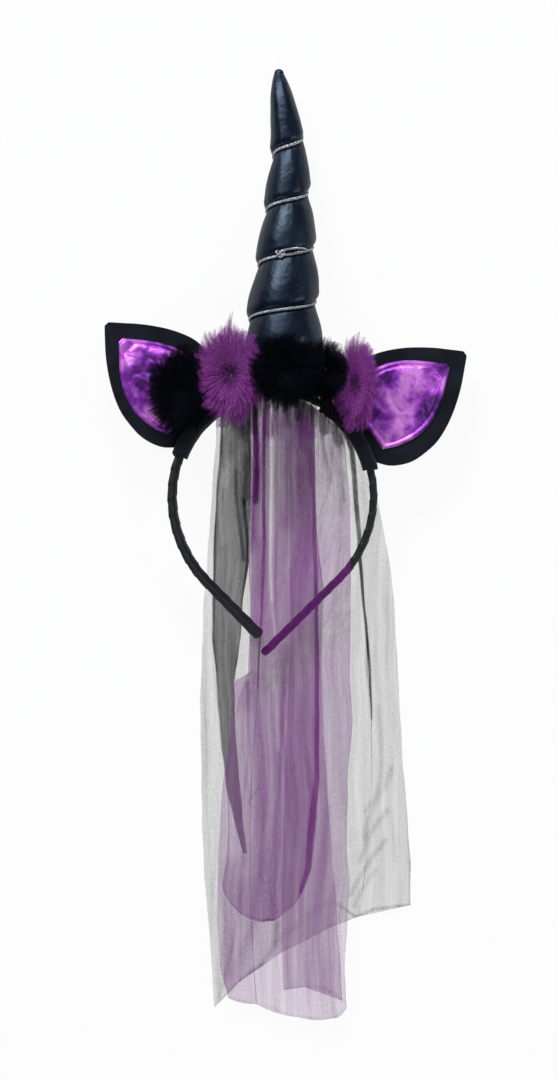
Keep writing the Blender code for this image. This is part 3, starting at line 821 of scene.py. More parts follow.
@dataclass
class Horn:
    """The stuffed spiral horn and the twisted cord that pinches it, lying on its back."""

    length: float = 0.1758
    radius: float = 0.0213
    aside: float = 0.0061
    base: float = 0.00265
    groove_pitch: float = 0.03025
    groove_sway: float = 0.0026
    groove_first: float = 0.0114
    groove_turns: float = 4.5
    groove_fade: float = 0.45
    lobe_depth: float = 0.00297
    lobe_from: float = 0.34
    lobe_to: float = 0.17
    crease_depth: float = 0.0013
    crease_width: float = 0.0012
    pucker_depth: float = 0.0005
    pucker_reach: float = 0.0045
    dent_depth: float = 0.00035
    cord_radius: float = 0.00092
    cord_sink: float = 0.0024
    cord_start: float = -0.125
    cord_pitch: float = 0.0046
    cord_steps: int = 1500
    knot_turns: float = 1.965
    knot_size: float = 0.00078
    knot_lift: float = 0.0012
    knot_steps: int = 160
    spare_turns: float = 0.24
    spare_steps: int = 120
    thin_radius: float = 0.00062
    thin_pitch: float = 0.0032
    resting_share: float = 0.15
    columns: int = 120
    rows: int = 300
    base_rows: float = 0.04
    tip_crowding: float = 1.12

    def axis(self, along: float) -> tuple[Vector, float]:
        """The horn's centre at a distance above its base, with its full radius there.

        Args:
            along: The distance.

        Returns:
            The centre and the radius.
        """
        share = along / self.length
        size = read_table(HORN_SECTIONS, 2, share)
        last = HORN_SECTIONS[-1]
        if share > last[0]:
            size = last[2] * math.sqrt(max(0.0, 1 - ((share - last[0]) / (1 - last[0])) ** 2))
        resting = self.radius * read_table(HORN_SECTIONS, 2, max(share, self.resting_share))
        across = self.aside + self.length * read_table(HORN_SECTIONS, 1, share)
        return Vector((across, self.base + along, resting)), self.radius * size

    def groove_height(self, turns: float) -> float:
        """Distance above the base of the groove after so many turns, counted from the front."""
        sway = self.groove_sway * math.sin(2 * math.pi * turns)
        return self.groove_first + self.groove_pitch * turns - sway

    def strength(self, turns: float) -> float:
        """The groove keeps its depth and dies out over its last part."""
        return 1.0 - smoothstep(self.groove_turns - self.groove_fade, self.groove_turns, turns)

    def recess(self, along: float, angle: float) -> float:
        """How far the cord pulls the cover in at a point.

        Args:
            along: Distance above the base.
            angle: Angle round the horn, from +X over the front.

        Returns:
            The depth below the full radius.
        """
        turns = (along - self.groove_first + self.groove_sway * math.cos(angle)) / self.groove_pitch
        lead = (math.pi / 2 - angle) / (2 * math.pi)
        below = math.floor(turns - lead)
        share = turns - lead - below
        under, over = self.strength(below + lead), self.strength(below + 1 + lead)
        rising = under * max(0.0, 1 - share / self.lobe_to) ** 2
        falling = over * max(0.0, (share - self.lobe_from) / (1 - self.lobe_from)) ** 1.8
        near = min(share, 1 - share) * self.groove_pitch
        held = under if share < 0.5 else over
        crease = self.crease_depth * held * math.exp(-((near / self.crease_width) ** 2))
        around = angle * self.radius * 0.6
        ripple = noise.noise(Vector((around / 0.0024, along / 0.011, 3.0 * below)))
        pucker = self.pucker_depth * held * math.exp(-near / self.pucker_reach) * ripple
        dent = self.dent_depth * noise.noise(Vector((around / 0.010, along / 0.013, 7.0)))
        return self.lobe_depth * max(rising, falling) + crease + pucker + dent

    def surface(self, along: float, angle: float, lift: float = 0.0) -> Vector:
        """A point of the cover.

        Args:
            along: Distance above the base.
            angle: Angle round the horn, from +X over the front.
            lift: Height over the cover.

        Returns:
            The point.
        """
        centre, radius = self.axis(along)
        slim = min(1.0, radius / (0.3 * self.radius))
        reach = max(0.0, radius - self.recess(along, angle) * slim) + lift
        return CROWN + centre + Vector((reach * math.cos(angle), 0.0, reach * math.sin(angle)))

    def place(self, u: float, v: float) -> Vector:
        """Place a point of the cover's grid.

        Args:
            u: Share round it.
            v: Share from the base's middle to the tip.

        Returns:
            The point.
        """
        angle = 2 * math.pi * u
        if v < self.base_rows:
            rim = self.surface(0.0, angle)
            centre, _ = self.axis(0.0)
            return (CROWN + centre).lerp(rim, math.sqrt(v / self.base_rows))
        share = (v - self.base_rows) / (1 - self.base_rows)
        return self.surface(self.length * (1 - (1 - share) ** self.tip_crowding), angle)

    def build_cover(self, finish: Finish) -> Piece:
        """The faux leather cover, stuffed and pinched by its cord.

        Args:
            finish: The faux leather.

        Returns:
            The piece.
        """
        bm = shaped_grid(self.columns, self.rows, self.place, closed=True)
        piece = add_piece("horn_cover", bm, finish, "faux_leather_black", ["horn"])
        return piece

    def groove_point(self, turns: float, lift: float = 0.0) -> Vector:
        """A point of the line that the cord's middle follows.

        Args:
            turns: Turns after the groove first passes the front.
            lift: Height over the line.

        Returns:
            The point.
        """
        angle = math.pi / 2 - 2 * math.pi * turns
        centre, radius = self.axis(self.groove_height(turns))
        reach = radius - self.cord_sink * self.strength(turns) + 0.0001 + lift
        return CROWN + centre + Vector((reach * math.cos(angle), 0.0, reach * math.sin(angle)))

    def build_cord(self, finish: Finish) -> Piece:
        """The cord of three twisted strands, its knot on the front and the end that runs from it.

        Args:
            finish: The yarn.

        Returns:
            The piece.
        """
        wound = self.groove_turns - 0.25 * self.groove_fade - self.cord_start
        steps = self.cord_steps
        line = [self.groove_point(self.cord_start + wound * i / steps) for i in range(steps + 1)]
        parts = twisted(line, self.cord_radius, strands=3, pitch=self.cord_pitch)
        parts += twisted(self.knot_line(), self.thin_radius, strands=2, pitch=self.thin_pitch)
        parts += twisted(self.spare_line(), self.thin_radius, strands=2, pitch=self.thin_pitch)
        return add_piece("horn_cord_twisted", join(parts), finish, "silver_cord", ["horn_cord"])

    def knot_line(self) -> list[Vector]:
        """The closed line of the overhand knot on the horn's front.

        Returns:
            Its points.
        """
        heart = self.groove_point(self.knot_turns, self.knot_lift) + Vector((0.0, 0.0011, 0.0))
        line = []
        for i in range(self.knot_steps + 1):
            t = 2 * math.pi * i / self.knot_steps
            across = math.sin(t) + 2 * math.sin(2 * t)
            along = 0.85 * (math.cos(t) - 2 * math.cos(2 * t))
            line.append(heart + self.knot_size * Vector((across, along, -0.9 * math.sin(3 * t))))
        return line

    def spare_line(self) -> list[Vector]:
        """The line of the cord's end, which runs from the knot beside the turn that it ties.

        Returns:
            Its points.
        """
        line = []
        for i in range(self.spare_steps + 1):
            share = i / self.spare_steps
            turns = self.knot_turns + self.spare_turns * share
            away = 0.0024 * math.sin(math.pi * min(1.0, 0.25 + share)) + 0.0004
            angle = math.pi / 2 - 2 * math.pi * turns
            line.append(self.surface(self.groove_height(turns) + away, angle, 0.0007))
        return line


def frame_line(line: Sequence[Vector]) -> list[tuple[Vector, Vector, Vector]]:
    """Find two directions across a line that turn as little as they can.

    Args:
        line: The points, close together.

    Returns:
        Each point with its two directions.
    """
    last = len(line) - 1
    frames = []
    side = Vector((0, 0, 1))
    for i, point in enumerate(line):
        along = (line[min(last, i + 1)] - line[max(0, i - 1)]).normalized()
        side = (side - along * side.dot(along)).normalized()
        frames.append((point, side.copy(), along.cross(side)))
    return frames


def tube(line: Sequence[Vector], radius: float, columns: int) -> Mesh:
    """Sweep a round section along a line of points.

    Args:
        line: The points, close together.
        radius: Its radius.
        columns: Faces round it.

    Returns:
        A closed tube.
    """
    last = len(line) - 1
    frames = frame_line(line)

    def place(u: float, v: float) -> Vector:
        """Place a point of the tube's grid.

        Args:
            u: Share round it.
            v: Share along it.

        Returns:
            The point, with both ends drawn in.
        """
        point, first, second = frames[min(last, round(v * (last + 2)) - 1) if v > 0 else 0]
        reach = 0.0 if v <= 0 or v >= 1 else radius
        angle = 2 * math.pi * u
        return point + (first * math.cos(angle) + second * math.sin(angle)) * reach

    return shaped_grid(columns, last + 2, place, closed=True)


def twisted(line: Sequence[Vector], radius: float, strands: int, pitch: float) -> list[Mesh]:
    """Twist strands round a line.

    Args:
        line: The line that the cord's middle follows.
        radius: The whole cord's radius.
        strands: How many strands it has.
        pitch: Length of one turn of its twist.

    Returns:
        A tube for each strand.
    """
    strand = radius / (2.0 if strands == 2 else 2.1)
    frames = frame_line(line)
    made = []
    for number in range(strands):
        path = []
        length = 0.0
        before = line[0]
        for point, first, second in frames:
            length += (point - before).length
            before = point
            angle = 2 * math.pi * (length / pitch + number / strands)
            out = first * math.cos(angle) + second * math.sin(angle)
            path.append(point + out * (radius - strand))
        made.append(tube(path, strand, STRAND_SIDES))
    return made


# Hoop and its sleeves


@dataclass
class Station:
    """A place on the hoop's centreline, with its roll in degrees and how far along the hoop it is."""

    place: Vector
    roll: float
    reach: float = 0.0


@dataclass
class Arm:
    """An arm of the hoop, which bends inward below the arc and then runs straight."""

    side: int
    bend_radius: float
    bend_angle: float
    run: float
    roll_at_arc: float
    roll_at_tip: float

    @property
    def bend(self) -> float:
        """Length of the bent part."""
        return self.bend_radius * math.radians(self.bend_angle)

    def plan(self, length: float) -> Vector:
        """The arm's centreline in plan.

        Args:
            length: Length below the arc.

        Returns:
            The point.
        """
        turn = min(length, self.bend) / self.bend_radius
        across = Hoop.half_width - self.bend_radius * (1 - math.cos(turn))
        down = Hoop.arc_rise + self.bend_radius * math.sin(turn)
        rest = max(0.0, length - self.bend)
        last = math.radians(self.bend_angle)
        return Vector((self.side * (across - rest * math.sin(last)), -(down + rest * math.cos(last)), 0.0))


@dataclass
class Hoop:
    """The flat spring hoop, wound with satin ribbon."""

    half_width: ClassVar[float] = 0.0554
    arc_rise: ClassVar[float] = 0.0578
    thickness: float = 0.0042
    breadth: float = 0.0095
    crown_height: float = 0.0213
    crown_roll: float = 3.0
    left_tip: float = 0.02223
    right_tip: float = 0.00974
    ribbon_pitch: float = 0.0086
    ribbon_step: float = 0.00034
    ribbon_sides: int = 28
    ribbon_rows: int = 620
    sleeve_felt: float = 0.0018
    sleeve_gap: float = 0.0003
    arc_step: float = 1.5
    left_steps: int = 60
    right_steps: int = 70
    left: Arm = field(default_factory=lambda: Arm(-1, 0.068, 44.5, 0.0415, 13.0, 23.0))
    right: Arm = field(default_factory=lambda: Arm(1, 0.064, 45.3, 0.0595, 2.5, 6.0))

    def arc_plan(self, angle: float, outward: float = 0.0) -> Vector:
        """A point of the top arc in plan.

        Args:
            angle: Its angle in degrees, from the right.
            outward: How far it is moved outward.

        Returns:
            The point.
        """
        turn = math.radians(angle)
        across = (self.half_width + outward) * math.cos(turn)
        return Vector((across, (self.arc_rise + outward) * math.sin(turn) - self.arc_rise, 0.0))

    def right_height(self, length: float) -> float:
        """Height of the centreline at a length from the crown down the right half."""
        whole = self.half_width * math.pi / 2 + self.right.bend + self.right.run
        return self.crown_height + (self.right_tip - self.crown_height) * length / whole

    def arc_height(self, angle: float) -> float:
        """Height of the centreline at an angle of the top arc."""
        return self.right_height(self.half_width * math.radians(max(0.0, 90 - angle)))

    def arc_roll(self, angle: float) -> float:
        """Roll of the section at an angle of the top arc."""
        if angle > 90:
            return -self.crown_roll - (self.left.roll_at_arc - self.crown_roll) * (angle - 90) / 90
        return -self.crown_roll + (self.right.roll_at_arc + self.crown_roll) * (1 - angle / 90)

    def arm_station(self, arm: Arm, share: float) -> Station:
        """The station at a share of an arm's length.

        Args:
            arm: The arm.
            share: The share of its length.

        Returns:
            The station.
        """
        place = arm.plan((arm.bend + arm.run) * share)
        roll = arm.roll_at_arc + (arm.roll_at_tip - arm.roll_at_arc) * share
        if arm.side < 0:
            drop = self.left_tip - self.crown_height
            place.z = self.crown_height + drop * smoothstep(0.0, 0.8, share)
            return Station(place, -roll)
        place.z = self.right_height(self.half_width * math.pi / 2 + (arm.bend + arm.run) * share)
        return Station(place, roll)

    @cached_property
    def stations(self) -> list[Station]:
        """Stations from the left tip over the crown to the right tip, each with its reach."""
        steps = self.left_steps
        made = [self.arm_station(self.left, 1 - i / steps) for i in range(steps)]
        for i in range(round(180 / self.arc_step) + 1):
            angle = 180 - self.arc_step * i
            point = self.arc_plan(angle) + Vector((0, 0, self.arc_height(angle)))
            made.append(Station(point, self.arc_roll(angle)))
        steps = self.right_steps
        made += [self.arm_station(self.right, (i + 1) / steps) for i in range(steps)]
        for before, after in zip(made, made[1:]):
            after.reach = before.reach + (after.place - before.place).length
        return made

    @cached_property
    def total(self) -> float:
        """The whole length of the centreline."""
        return self.stations[-1].reach

    def arc_reach(self, angle: float) -> float:
        """How far along the hoop an angle of its top arc is."""
        return self.stations[self.left_steps + round((180 - angle) / self.arc_step)].reach

    def frame_at(self, reach: float) -> tuple[Vector, Vector, Vector, Vector]:
        """The centreline at a distance along the hoop.

        Args:
            reach: The distance from the left tip.

        Returns:
            The point, and the directions across the strip's thickness, across its breadth and along it.
        """
        index = min(len(self.stations) - 2, max(0, sum(1 for s in self.reaches if s <= reach) - 1))
        a, b = self.stations[index], self.stations[index + 1]
        t = min(1.0, max(0.0, (reach - a.reach) / (b.reach - a.reach)))
        before = self.stations[max(0, index - 1)].place
        after = self.stations[min(len(self.stations) - 1, index + 2)].place
        along = (b.place - before).normalized().lerp((after - a.place).normalized(), t).normalized()
        broad = (Vector((0, 0, 1)) - along * along.z).normalized()
        broad.rotate(Matrix.Rotation(math.radians(a.roll + (b.roll - a.roll) * t), 3, along))
        return a.place.lerp(b.place, t), along.cross(broad), broad, along

    @cached_property
    def reaches(self) -> list[float]:
        """The stations' reaches."""
        return [station.reach for station in self.stations]

    def skin(self, reach: float, angle: float, over: float) -> Vector:
        """A point of the rounded strip.

        Args:
            reach: Distance along the hoop.
            angle: Angle round it.
            over: Height over its surface.

        Returns:
            The point.
        """
        point, thick, broad, _ = self.frame_at(reach)
        c, s = math.cos(angle), math.sin(angle)
        a = (self.thickness / 2 + over) * math.copysign(abs(c) ** 0.5, c)
        b = (self.breadth / 2 + over) * math.copysign(abs(s) ** 0.62, s)
        return CROWN + point + thick * a + broad * b

    def place(self, u: float, v: float) -> Vector:
        """Place a point of the ribbon's grid.

        Args:
            u: Share round it.
            v: Share along it.

        Returns:
            The point.
        """
        angle = 2 * math.pi * u
        reach = self.total * v
        wound = (reach / self.ribbon_pitch + u) % 1.0
        ridge = self.ribbon_step * (1 - wound) ** 1.4 - 0.4 * self.ribbon_step
        tip = min(v, 1 - v) * self.total / 0.0022
        size = math.sqrt(max(0.0, 1 - (1 - min(1.0, tip)) ** 2))
        centre = CROWN + self.frame_at(reach)[0]
        fine = 0.00008 * noise.noise(Vector((reach / 0.0015, 4 * u, 1.0)))
        return centre.lerp(self.skin(reach, angle, ridge + fine), size)

    def build_ribbon(self, finish: Finish) -> Piece:
        """The hoop in its wound ribbon."""
        bm = shaped_grid(self.ribbon_sides, self.ribbon_rows, self.place, closed=True)
        return add_piece("hoop_ribbon", bm, finish, "satin_black", ["headband"])

    def build_sleeve(self, side: str, first: float, last: float, finish: Finish) -> Piece:
        """The felt wrapped round the hoop at an ear's root.

        Args:
            side: Which ear, left or right.
            first: The arc's angle at its one end.
            last: The arc's angle at its other end.
            finish: The felt.

        Returns:
            The sleeve.
        """
        start, end = self.arc_reach(last), self.arc_reach(first)

        def place(u: float, v: float) -> Vector:
            """Place a point of the felt's outer side.

            Args:
                u: Share round it.
                v: Share along it.

            Returns:
                The point.
            """
            angle = 2 * math.pi * u
            sag = 0.0009 * math.sin(angle + 0.7) + 0.0005 * math.sin(3 * angle)
            reach = start + sag + (end - start - 2 * sag) * v
            lump = 0.00035 * noise.noise(Vector((reach / 0.006, math.cos(angle), math.sin(angle))))
            seam = 0.0004 * math.exp(-(((u - 0.62) / 0.02) ** 2))
            return self.skin(reach, angle, self.sleeve_gap + self.sleeve_felt + lump + seam)

        bm = shaped_grid(*SLEEVE_GRID, place, closed=True)
        piece = add_piece(f"felt_sleeve_{side}", bm, finish, "felt_black", [f"ear_sleeve_{side}"])
        thicken(piece, self.sleeve_felt, -1.0, 0.0004)
        return piece


def thicken(piece: Piece, thickness: float, offset: float, rounded: float) -> None:
    """Give a sheet its thickness and round its cut edges.

    Args:
        piece: The sheet.
        thickness: Its thickness.
        offset: Where the thickness goes, -1 for inward and 0 for both ways.
        rounded: Width of its round edge.
    """
    wall = piece.modifiers.new("wall", "SOLIDIFY")
    wall.thickness = thickness
    wall.offset = offset
    edge = piece.modifiers.new("edge", "BEVEL")
    edge.width = rounded
    edge.segments = 2
    edge.limit_method = "ANGLE"
    edge.angle_limit = math.radians(50)


# Ears

# Share of the way from the sleeve to the tip, and share of the ear's greatest half width
EAR_OUTLINE: Table = (
    (0.00, 0.60),
    (0.09, 0.79),
    (0.18, 0.91),
    (0.28, 0.99),
    (0.38, 1.00),
    (0.48, 0.97),
    (0.57, 0.88),
    (0.66, 0.75),
    (0.75, 0.59),
    (0.84, 0.41),
    (0.92, 0.23),
    (0.97, 0.12),
    (1.00, 0.05),
)
# The same for the foil inset, from its foot to its tip
INSET_OUTLINE: Table = (
    (0.00, 0.74),
    (0.12, 0.89),
    (0.26, 0.98),
    (0.38, 1.00),
    (0.50, 0.95),
    (0.62, 0.83),
    (0.74, 0.64),
    (0.85, 0.41),
    (0.94, 0.20),
    (1.00, 0.06),
)


@dataclass
class Ear:
    """A felt ear with its foil inset."""

    side: str
    hoop: Hoop
    root_angle: float
    lean: float
    upper: float
    lower: float
    inset_upper: float
    inset_lower: float
    sleeve_from: float
    sleeve_to: float
    length: float = 0.0755
    felt: float = 0.0020
    droop: float = 0.0060
    dish: float = 0.0016
    tuck: float = 0.0014
    setback: float = 0.0078
    inset_length: float = 0.0560
    seed: float = 0.0

    @cached_property
    def axes(self) -> tuple[Vector, Vector, Vector]:
        """The root on the hoop, the ear's direction and the direction across it, to its upper edge."""
        turn = math.radians(self.lean)
        along = Vector((math.cos(turn), math.sin(turn), 0.0))
        across = Vector((-along.y, along.x, 0.0))
        if across.y < 0:
            across.negate()
        root = self.hoop.arc_plan(self.root_angle)
        root.z = self.hoop.arc_height(self.root_angle)
        return root, along, across

    def start(self, v: float) -> float:
        """Find where the ear meets its sleeve.

        Args:
            v: Distance across the ear.

        Returns:
            The distance along it.
        """
        root, along, across = self.axes
        roll = math.radians(abs(self.hoop.arc_roll(self.sleeve_to)))
        sleeve = self.hoop.sleeve_felt + self.hoop.sleeve_gap
        outward = (self.hoop.thickness / 2 + sleeve) / math.cos(roll) + self.hoop.sleeve_gap
        outward += (self.felt / 2 + self.dish) * math.tan(roll)
        wide, tall = self.hoop.half_width + outward, self.hoop.arc_rise + outward
        point = root + across * v + Vector((0, self.hoop.arc_rise, 0))
        a = (along.x / wide) ** 2 + (along.y / tall) ** 2
        b = 2 * (point.x * along.x / wide ** 2 + point.y * along.y / tall ** 2)
        c = (point.x / wide) ** 2 + (point.y / tall) ** 2 - 1
        return (-b + math.sqrt(b * b - 4 * a * c)) / (2 * a)

    def point(self, u: float, v: float, lift: float = 0.0) -> Vector:
        """A point of the ear's middle surface, which droops to its tip and is dished across.

        Args:
            u: Distance along the ear.
            v: Distance across it.
            lift: Height over it.

        Returns:
            The point.
        """
        root, along, across = self.axes
        width = self.upper if v > 0 else self.lower
        drop = self.droop * (u / self.length) ** 2
        dish = self.dish * (v / width) ** 2
        uneven = 0.0004 * noise.noise(Vector((u / 0.016, v / 0.016, self.seed)))
        return CROWN + root + along * u + across * v + Vector((0, 0, dish - drop + lift + uneven))

    def felt_place(self, u: float, v: float) -> Vector:
        """Place a point of the felt's grid.

        Args:
            u: Share across.
            v: Share from the sleeve to the tip.

        Returns:
            The point.
        """
        column = 2 * u - 1
        half = (self.upper if column > 0 else self.lower) * read_table(EAR_OUTLINE, 1, v)
        start = self.start(column * half) - self.tuck * (1 - v)
        return self.point(start + (self.length - start) * v, column * half)

    def build_felt(self, finish: Finish) -> Piece:
        """The ear's felt leaf.

        Args:
            finish: The felt.

        Returns:
            The piece.
        """
        bm = shaped_grid(*FELT_GRID, self.felt_place)
        piece = add_piece(f"felt_ear_{self.side}", bm, finish, "felt_black", [f"ear_{self.side}"])
        thicken(piece, self.felt, 0.0, 0.0006)
        return piece

    def inset_place(self, u: float, v: float) -> Vector:
        """Place a point of the padded foil, with a sewn channel near its edge and a rolled rim.

        Args:
            u: Share across.
            v: Share from the root to the tip.

        Returns:
            The point.
        """
        column = 2 * u - 1
        half = self.inset_upper if column > 0 else self.inset_lower
        width = read_table(INSET_OUTLINE, 1, v)
        along = self.setback + self.inset_length * v
        across = column * half * width
        ends = min(v * self.inset_length * 0.9, (1 - v) * self.inset_length * 0.45)
        edge = min((1 - abs(column)) * half * width, ends)
        channel = 0.0008 * math.exp(-(((edge - 0.0030) / 0.0008) ** 2))
        rim = 0.0013 * smoothstep(0.0, 0.0011, edge) - channel
        puff = 0.0010 * smoothstep(0.0032, 0.0100, edge)
        place = Vector((along, across, self.seed * 0.01))
        creased = 0.0010 * abs(rough(place, 0.0100, self.seed))
        creased += 0.0004 * abs(rough(place, 0.0040, self.seed + 5))
        calm = smoothstep(0.001, 0.006, edge)
        lift = self.felt / 2 + 0.0001 + rim + puff + creased * (0.3 + 0.7 * calm)
        return self.point(along, across, lift)

    def build_inset(self, finish: Finish) -> Piece:
        """The shiny inset on the ear's face."""
        bm = shaped_grid(*INSET_GRID, self.inset_place)
        return add_piece(f"foil_inset_{self.side}", bm, finish, "foil_purple", [f"ear_inset_{self.side}"])


# Pompoms


@dataclass
class Pompom:
    """A rosette of gathered tulle strips, whose pleats stand out from its middle.

    Its layers are the strips, which lean up more the further in they are. Each tuft is an angle in
    degrees, a half width in degrees and the share by which the pleats there are longer.
    """

    node: str
    net: Net
    pleats: int
    layers: int
    rests_on: tuple[str, ...]
    tilt: float = 0.0
    spread: float = 1.10
    tufts: tuple[tuple[float, float, float], ...] = ()
    seed: int = 0
    columns_per_pleat: int = 6
    rings: int = 9
    first_lean: float = -0.25
    whole_lean: float = 1.12

    def build(self, finish: Finish) -> Piece:
        """The pompom's strips, one inside the other, as one piece.

        Args:
            finish: The bunched net.

        Returns:
            The piece.
        """
        low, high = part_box(self.node)
        centre = (Vector(low) + Vector(high)) / 2
        wide, tall, deep = (Vector(high) - Vector(low)) / 2
        turn = Matrix.Rotation(math.radians(self.tilt), 3, "Y")
        order = random.Random(self.seed)
        parts = []
        for layer in range(self.layers):
            level = layer / max(1, self.layers - 1)
            reaches = [self.spread * (0.78 + 0.36 * order.random()) for _ in range(self.pleats)]
            swings = [order.uniform(-0.3, 0.3) for _ in range(self.pleats)]
            lean = self.first_lean + self.whole_lean * level
            phase = order.random()
            depths = [order.uniform(0.45, 1.15) for _ in range(self.pleats)]

            def place(u: float, v: float) -> Vector:
                """Place a point of the strip's grid.

                Args:
                    u: Share round the pompom.
                    v: Share outward.

                Returns:
                    The point.
                """
                turns = u * self.pleats
                index = int(turns) % self.pleats
                part = turns - int(turns)
                after = (index + 1) % self.pleats
                reach = reaches[index] + (reaches[after] - reaches[index]) * part
                swing = swings[index] + (swings[after] - swings[index]) * part
                zigzag = 2 * abs(2 * (part - 0.5)) - 1
                angle = 2 * math.pi * (u + (phase + 0.85 * zigzag * v + swing) / self.pleats)
                for at, width, extra in self.tufts:
                    off = abs((math.degrees(angle) - at + 180) % 360 - 180)
                    reach *= 1 + extra * max(0.0, 1 - off / width) * (1.0 if level < 0.6 else 0.3)
                reach *= (0.01 + 0.99 * v) * (1 - 0.10 * zigzag * v)
                out = reach * math.cos(lean)
                up = reach * math.sin(lean) + 0.10 * zigzag * v
                across, along = wide * out * math.cos(angle), tall * out * math.sin(angle)
                return centre + turn @ Vector((across, along, deep * up * 0.9))

            count = self.pleats * self.columns_per_pleat
            bm = shaped_grid(count, self.rings, place)
            bunch = bm.verts.layers.float.new("bunch")
            for index, vertex in enumerate(bm.verts):
                share, column = index // (count + 1) / self.rings, index % (count + 1)
                crest = 1.0 if column % (self.columns_per_pleat // 2) == 0 else 0.0
                depth = depths[column // self.columns_per_pleat % self.pleats]
                # The bunch is high in the middle, on the pleats' crests and in the deeper pleats: the net
                # hides more there and is painted darker as shade.
                core = 1.25 * depth * (1 - smoothstep(0.15, 0.76, share))
                vertex[bunch] = core - 0.48 * smoothstep(0.70, 1.00, share) + 0.42 * crest - 0.22
            parts.append(bm)
        name = f"pompom{self.node.removeprefix('rosette')}"
        piece = add_piece(name, join(parts), finish, f"tulle_{self.net.value}", [self.node])
        declare_sheet(1.1 * tall, self.rests_on)
        return piece


POMPOMS = (
    Pompom("rosette_black_left", Net.BLACK, 26, 5, ("foil_inset_left",), seed=1, spread=1.52),
    Pompom(
        "rosette_purple_left", Net.PURPLE, 34, 6, ("horn_cover",), tilt=-20.0, seed=2, spread=1.36,
        tufts=((92.0, 9.0, 0.34), (130.0, 30.0, 0.10)),
    ),
    Pompom("rosette_black_middle", Net.BLACK, 34, 7, ("horn_cover",), seed=3, spread=1.32),
    Pompom("rosette_black_right", Net.BLACK, 28, 7, ("horn_cover",), tilt=35.0, seed=4, spread=1.42),
    Pompom("rosette_purple_right", Net.PURPLE, 28, 6, ("foil_inset_right",), seed=5, spread=1.40),
)


# Veil


@dataclass(frozen=True)
class Crease:
    """A line along which a ply is bunched, or thinned where its strength is below zero.

    Its points are distances down and across, in millimetres, each with a half width if widths are given.
    """

    line: Table
    width: float
    strength: float
    widths: tuple[float, ...] = ()

    @cached_property
    def box(self) -> tuple[float, float, float, float]:
        """Lowest and highest distance down and across that it reaches."""
        reach = 2.4 * max(self.widths or (self.width,))
        downs = [point[0] for point in self.line]
        acrosses = [point[1] for point in self.line]
        return min(downs) - reach, max(downs) + reach, min(acrosses) - reach, max(acrosses) + reach

    def bunch(self, down: float, across: float) -> float:
        """How much it bunches the net at a point.

        Args:
            down: Distance down, in millimetres.
            across: Distance across, in millimetres.

        Returns:
            The amount, below 0 where the net is thinned.
        """
        low, high, left, right = self.box
        if not (low < down < high and left < across < right):
            return 0.0
        best = 9.0
        widths = self.widths or (self.width,) * len(self.line)
        for a, b, wide_a, wide_b in zip(self.line, self.line[1:], widths, widths[1:]):
            run, side = b[0] - a[0], b[1] - a[1]
            t = ((down - a[0]) * run + (across - a[1]) * side) / (run * run + side * side)
            t = min(1.0, max(0.0, t))
            away = math.hypot(down - a[0] - run * t, across - a[1] - side * t)
            best = min(best, away / (wide_a + (wide_b - wide_a) * t))
        return self.strength * math.exp(-best * best)


@dataclass(frozen=True)
class Pleat:
    """A fold in a ply: its middle line, and its width at distances down, all in millimetres."""

    line: Table
    widths: Table

    def side(self, half: float) -> Table:
        """Its left (-0.5) or right (0.5) crease."""
        return tuple((down, across + half * read_line(self.widths, down)) for down, across in self.line)


@dataclass
class Drape:
    """How the veil lies: gathered up at the hoop, flat below, and lifted over the hoop's right arm."""

    hoop: Hoop
    lift: float = 0.0115
    run: float = 0.048
    ripple: float = 0.0011
    tent_slope: float = 0.68
    tent_flat: float = 0.0075
    tent_from: float = 0.30
    tent_points: int = 15
    clearance: float = 0.0006
    tent_box: tuple[float, float, float, float] = (-0.03, 0.07, 0.06, 0.17)

    def edge(self, across: float) -> float:
        """How far below the crown the veil starts at a distance across.

        Args:
            across: The distance.

        Returns:
            The distance down.
        """
        inward = 0.0020 + 0.0024 * smoothstep(0.014, 0.030, abs(across))
        wide, tall = self.hoop.half_width - inward, self.hoop.arc_rise - inward
        share = min(abs(across), 0.042) / wide
        return self.hoop.arc_rise - tall * math.sqrt(1 - share ** 2)

    @cached_property
    def arm(self) -> list[tuple[Vector, float]]:
        """Points of the right arm's centreline in plan, with the height of its top edge."""
        made = []
        for i in range(self.tent_points):
            share = self.tent_from + (1 - self.tent_from) * i / (self.tent_points - 1)
            station = self.hoop.arm_station(self.hoop.right, share)
            turn = math.radians(station.roll)
            half = 0.5 * (self.hoop.breadth * math.cos(turn) + self.hoop.thickness * math.sin(turn))
            made.append((station.place.xy, station.place.z + half + self.clearance))
        return made

    def tent(self, across: float, down: float) -> float:
        """Height that clears the right arm at a point in plan.

        Args:
            across: Distance across.
            down: Distance down.

        Returns:
            The height, or 0 away from the arm.
        """
        left, right, top, bottom = self.tent_box
        if not (left < across < right and top < down < bottom):
            return 0.0
        point = Vector((across, -down))
        highest = 0.0
        for (a, low), (b, high) in zip(self.arm, self.arm[1:]):
            way = b - a
            t = min(1.0, max(0.0, (point - a).dot(way) / way.length_squared))
            away = (point - a - way * t).length
            fall = self.tent_slope * max(0.0, away - self.tent_flat)
            highest = max(highest, low + (high - low) * t - fall)
        return highest

    def height(self, across: float, down: float) -> float:
        """Height of the lowest ply at a point in plan.

        Args:
            across: Distance across.
            down: Distance down.

        Returns:
            The height.
        """
        past = down - self.edge(across)
        gathered = 1 - smoothstep(0.0, self.run, past)
        wave = math.sin(across / 0.0016 + 1.2 * math.sin(across / 0.0071)) * (0.4 + 0.6 * gathered)
        calm = 1 - smoothstep(0.010, 0.075, past)
        return self.lift * gathered + self.ripple * calm * (0.5 + 0.5 * wave)


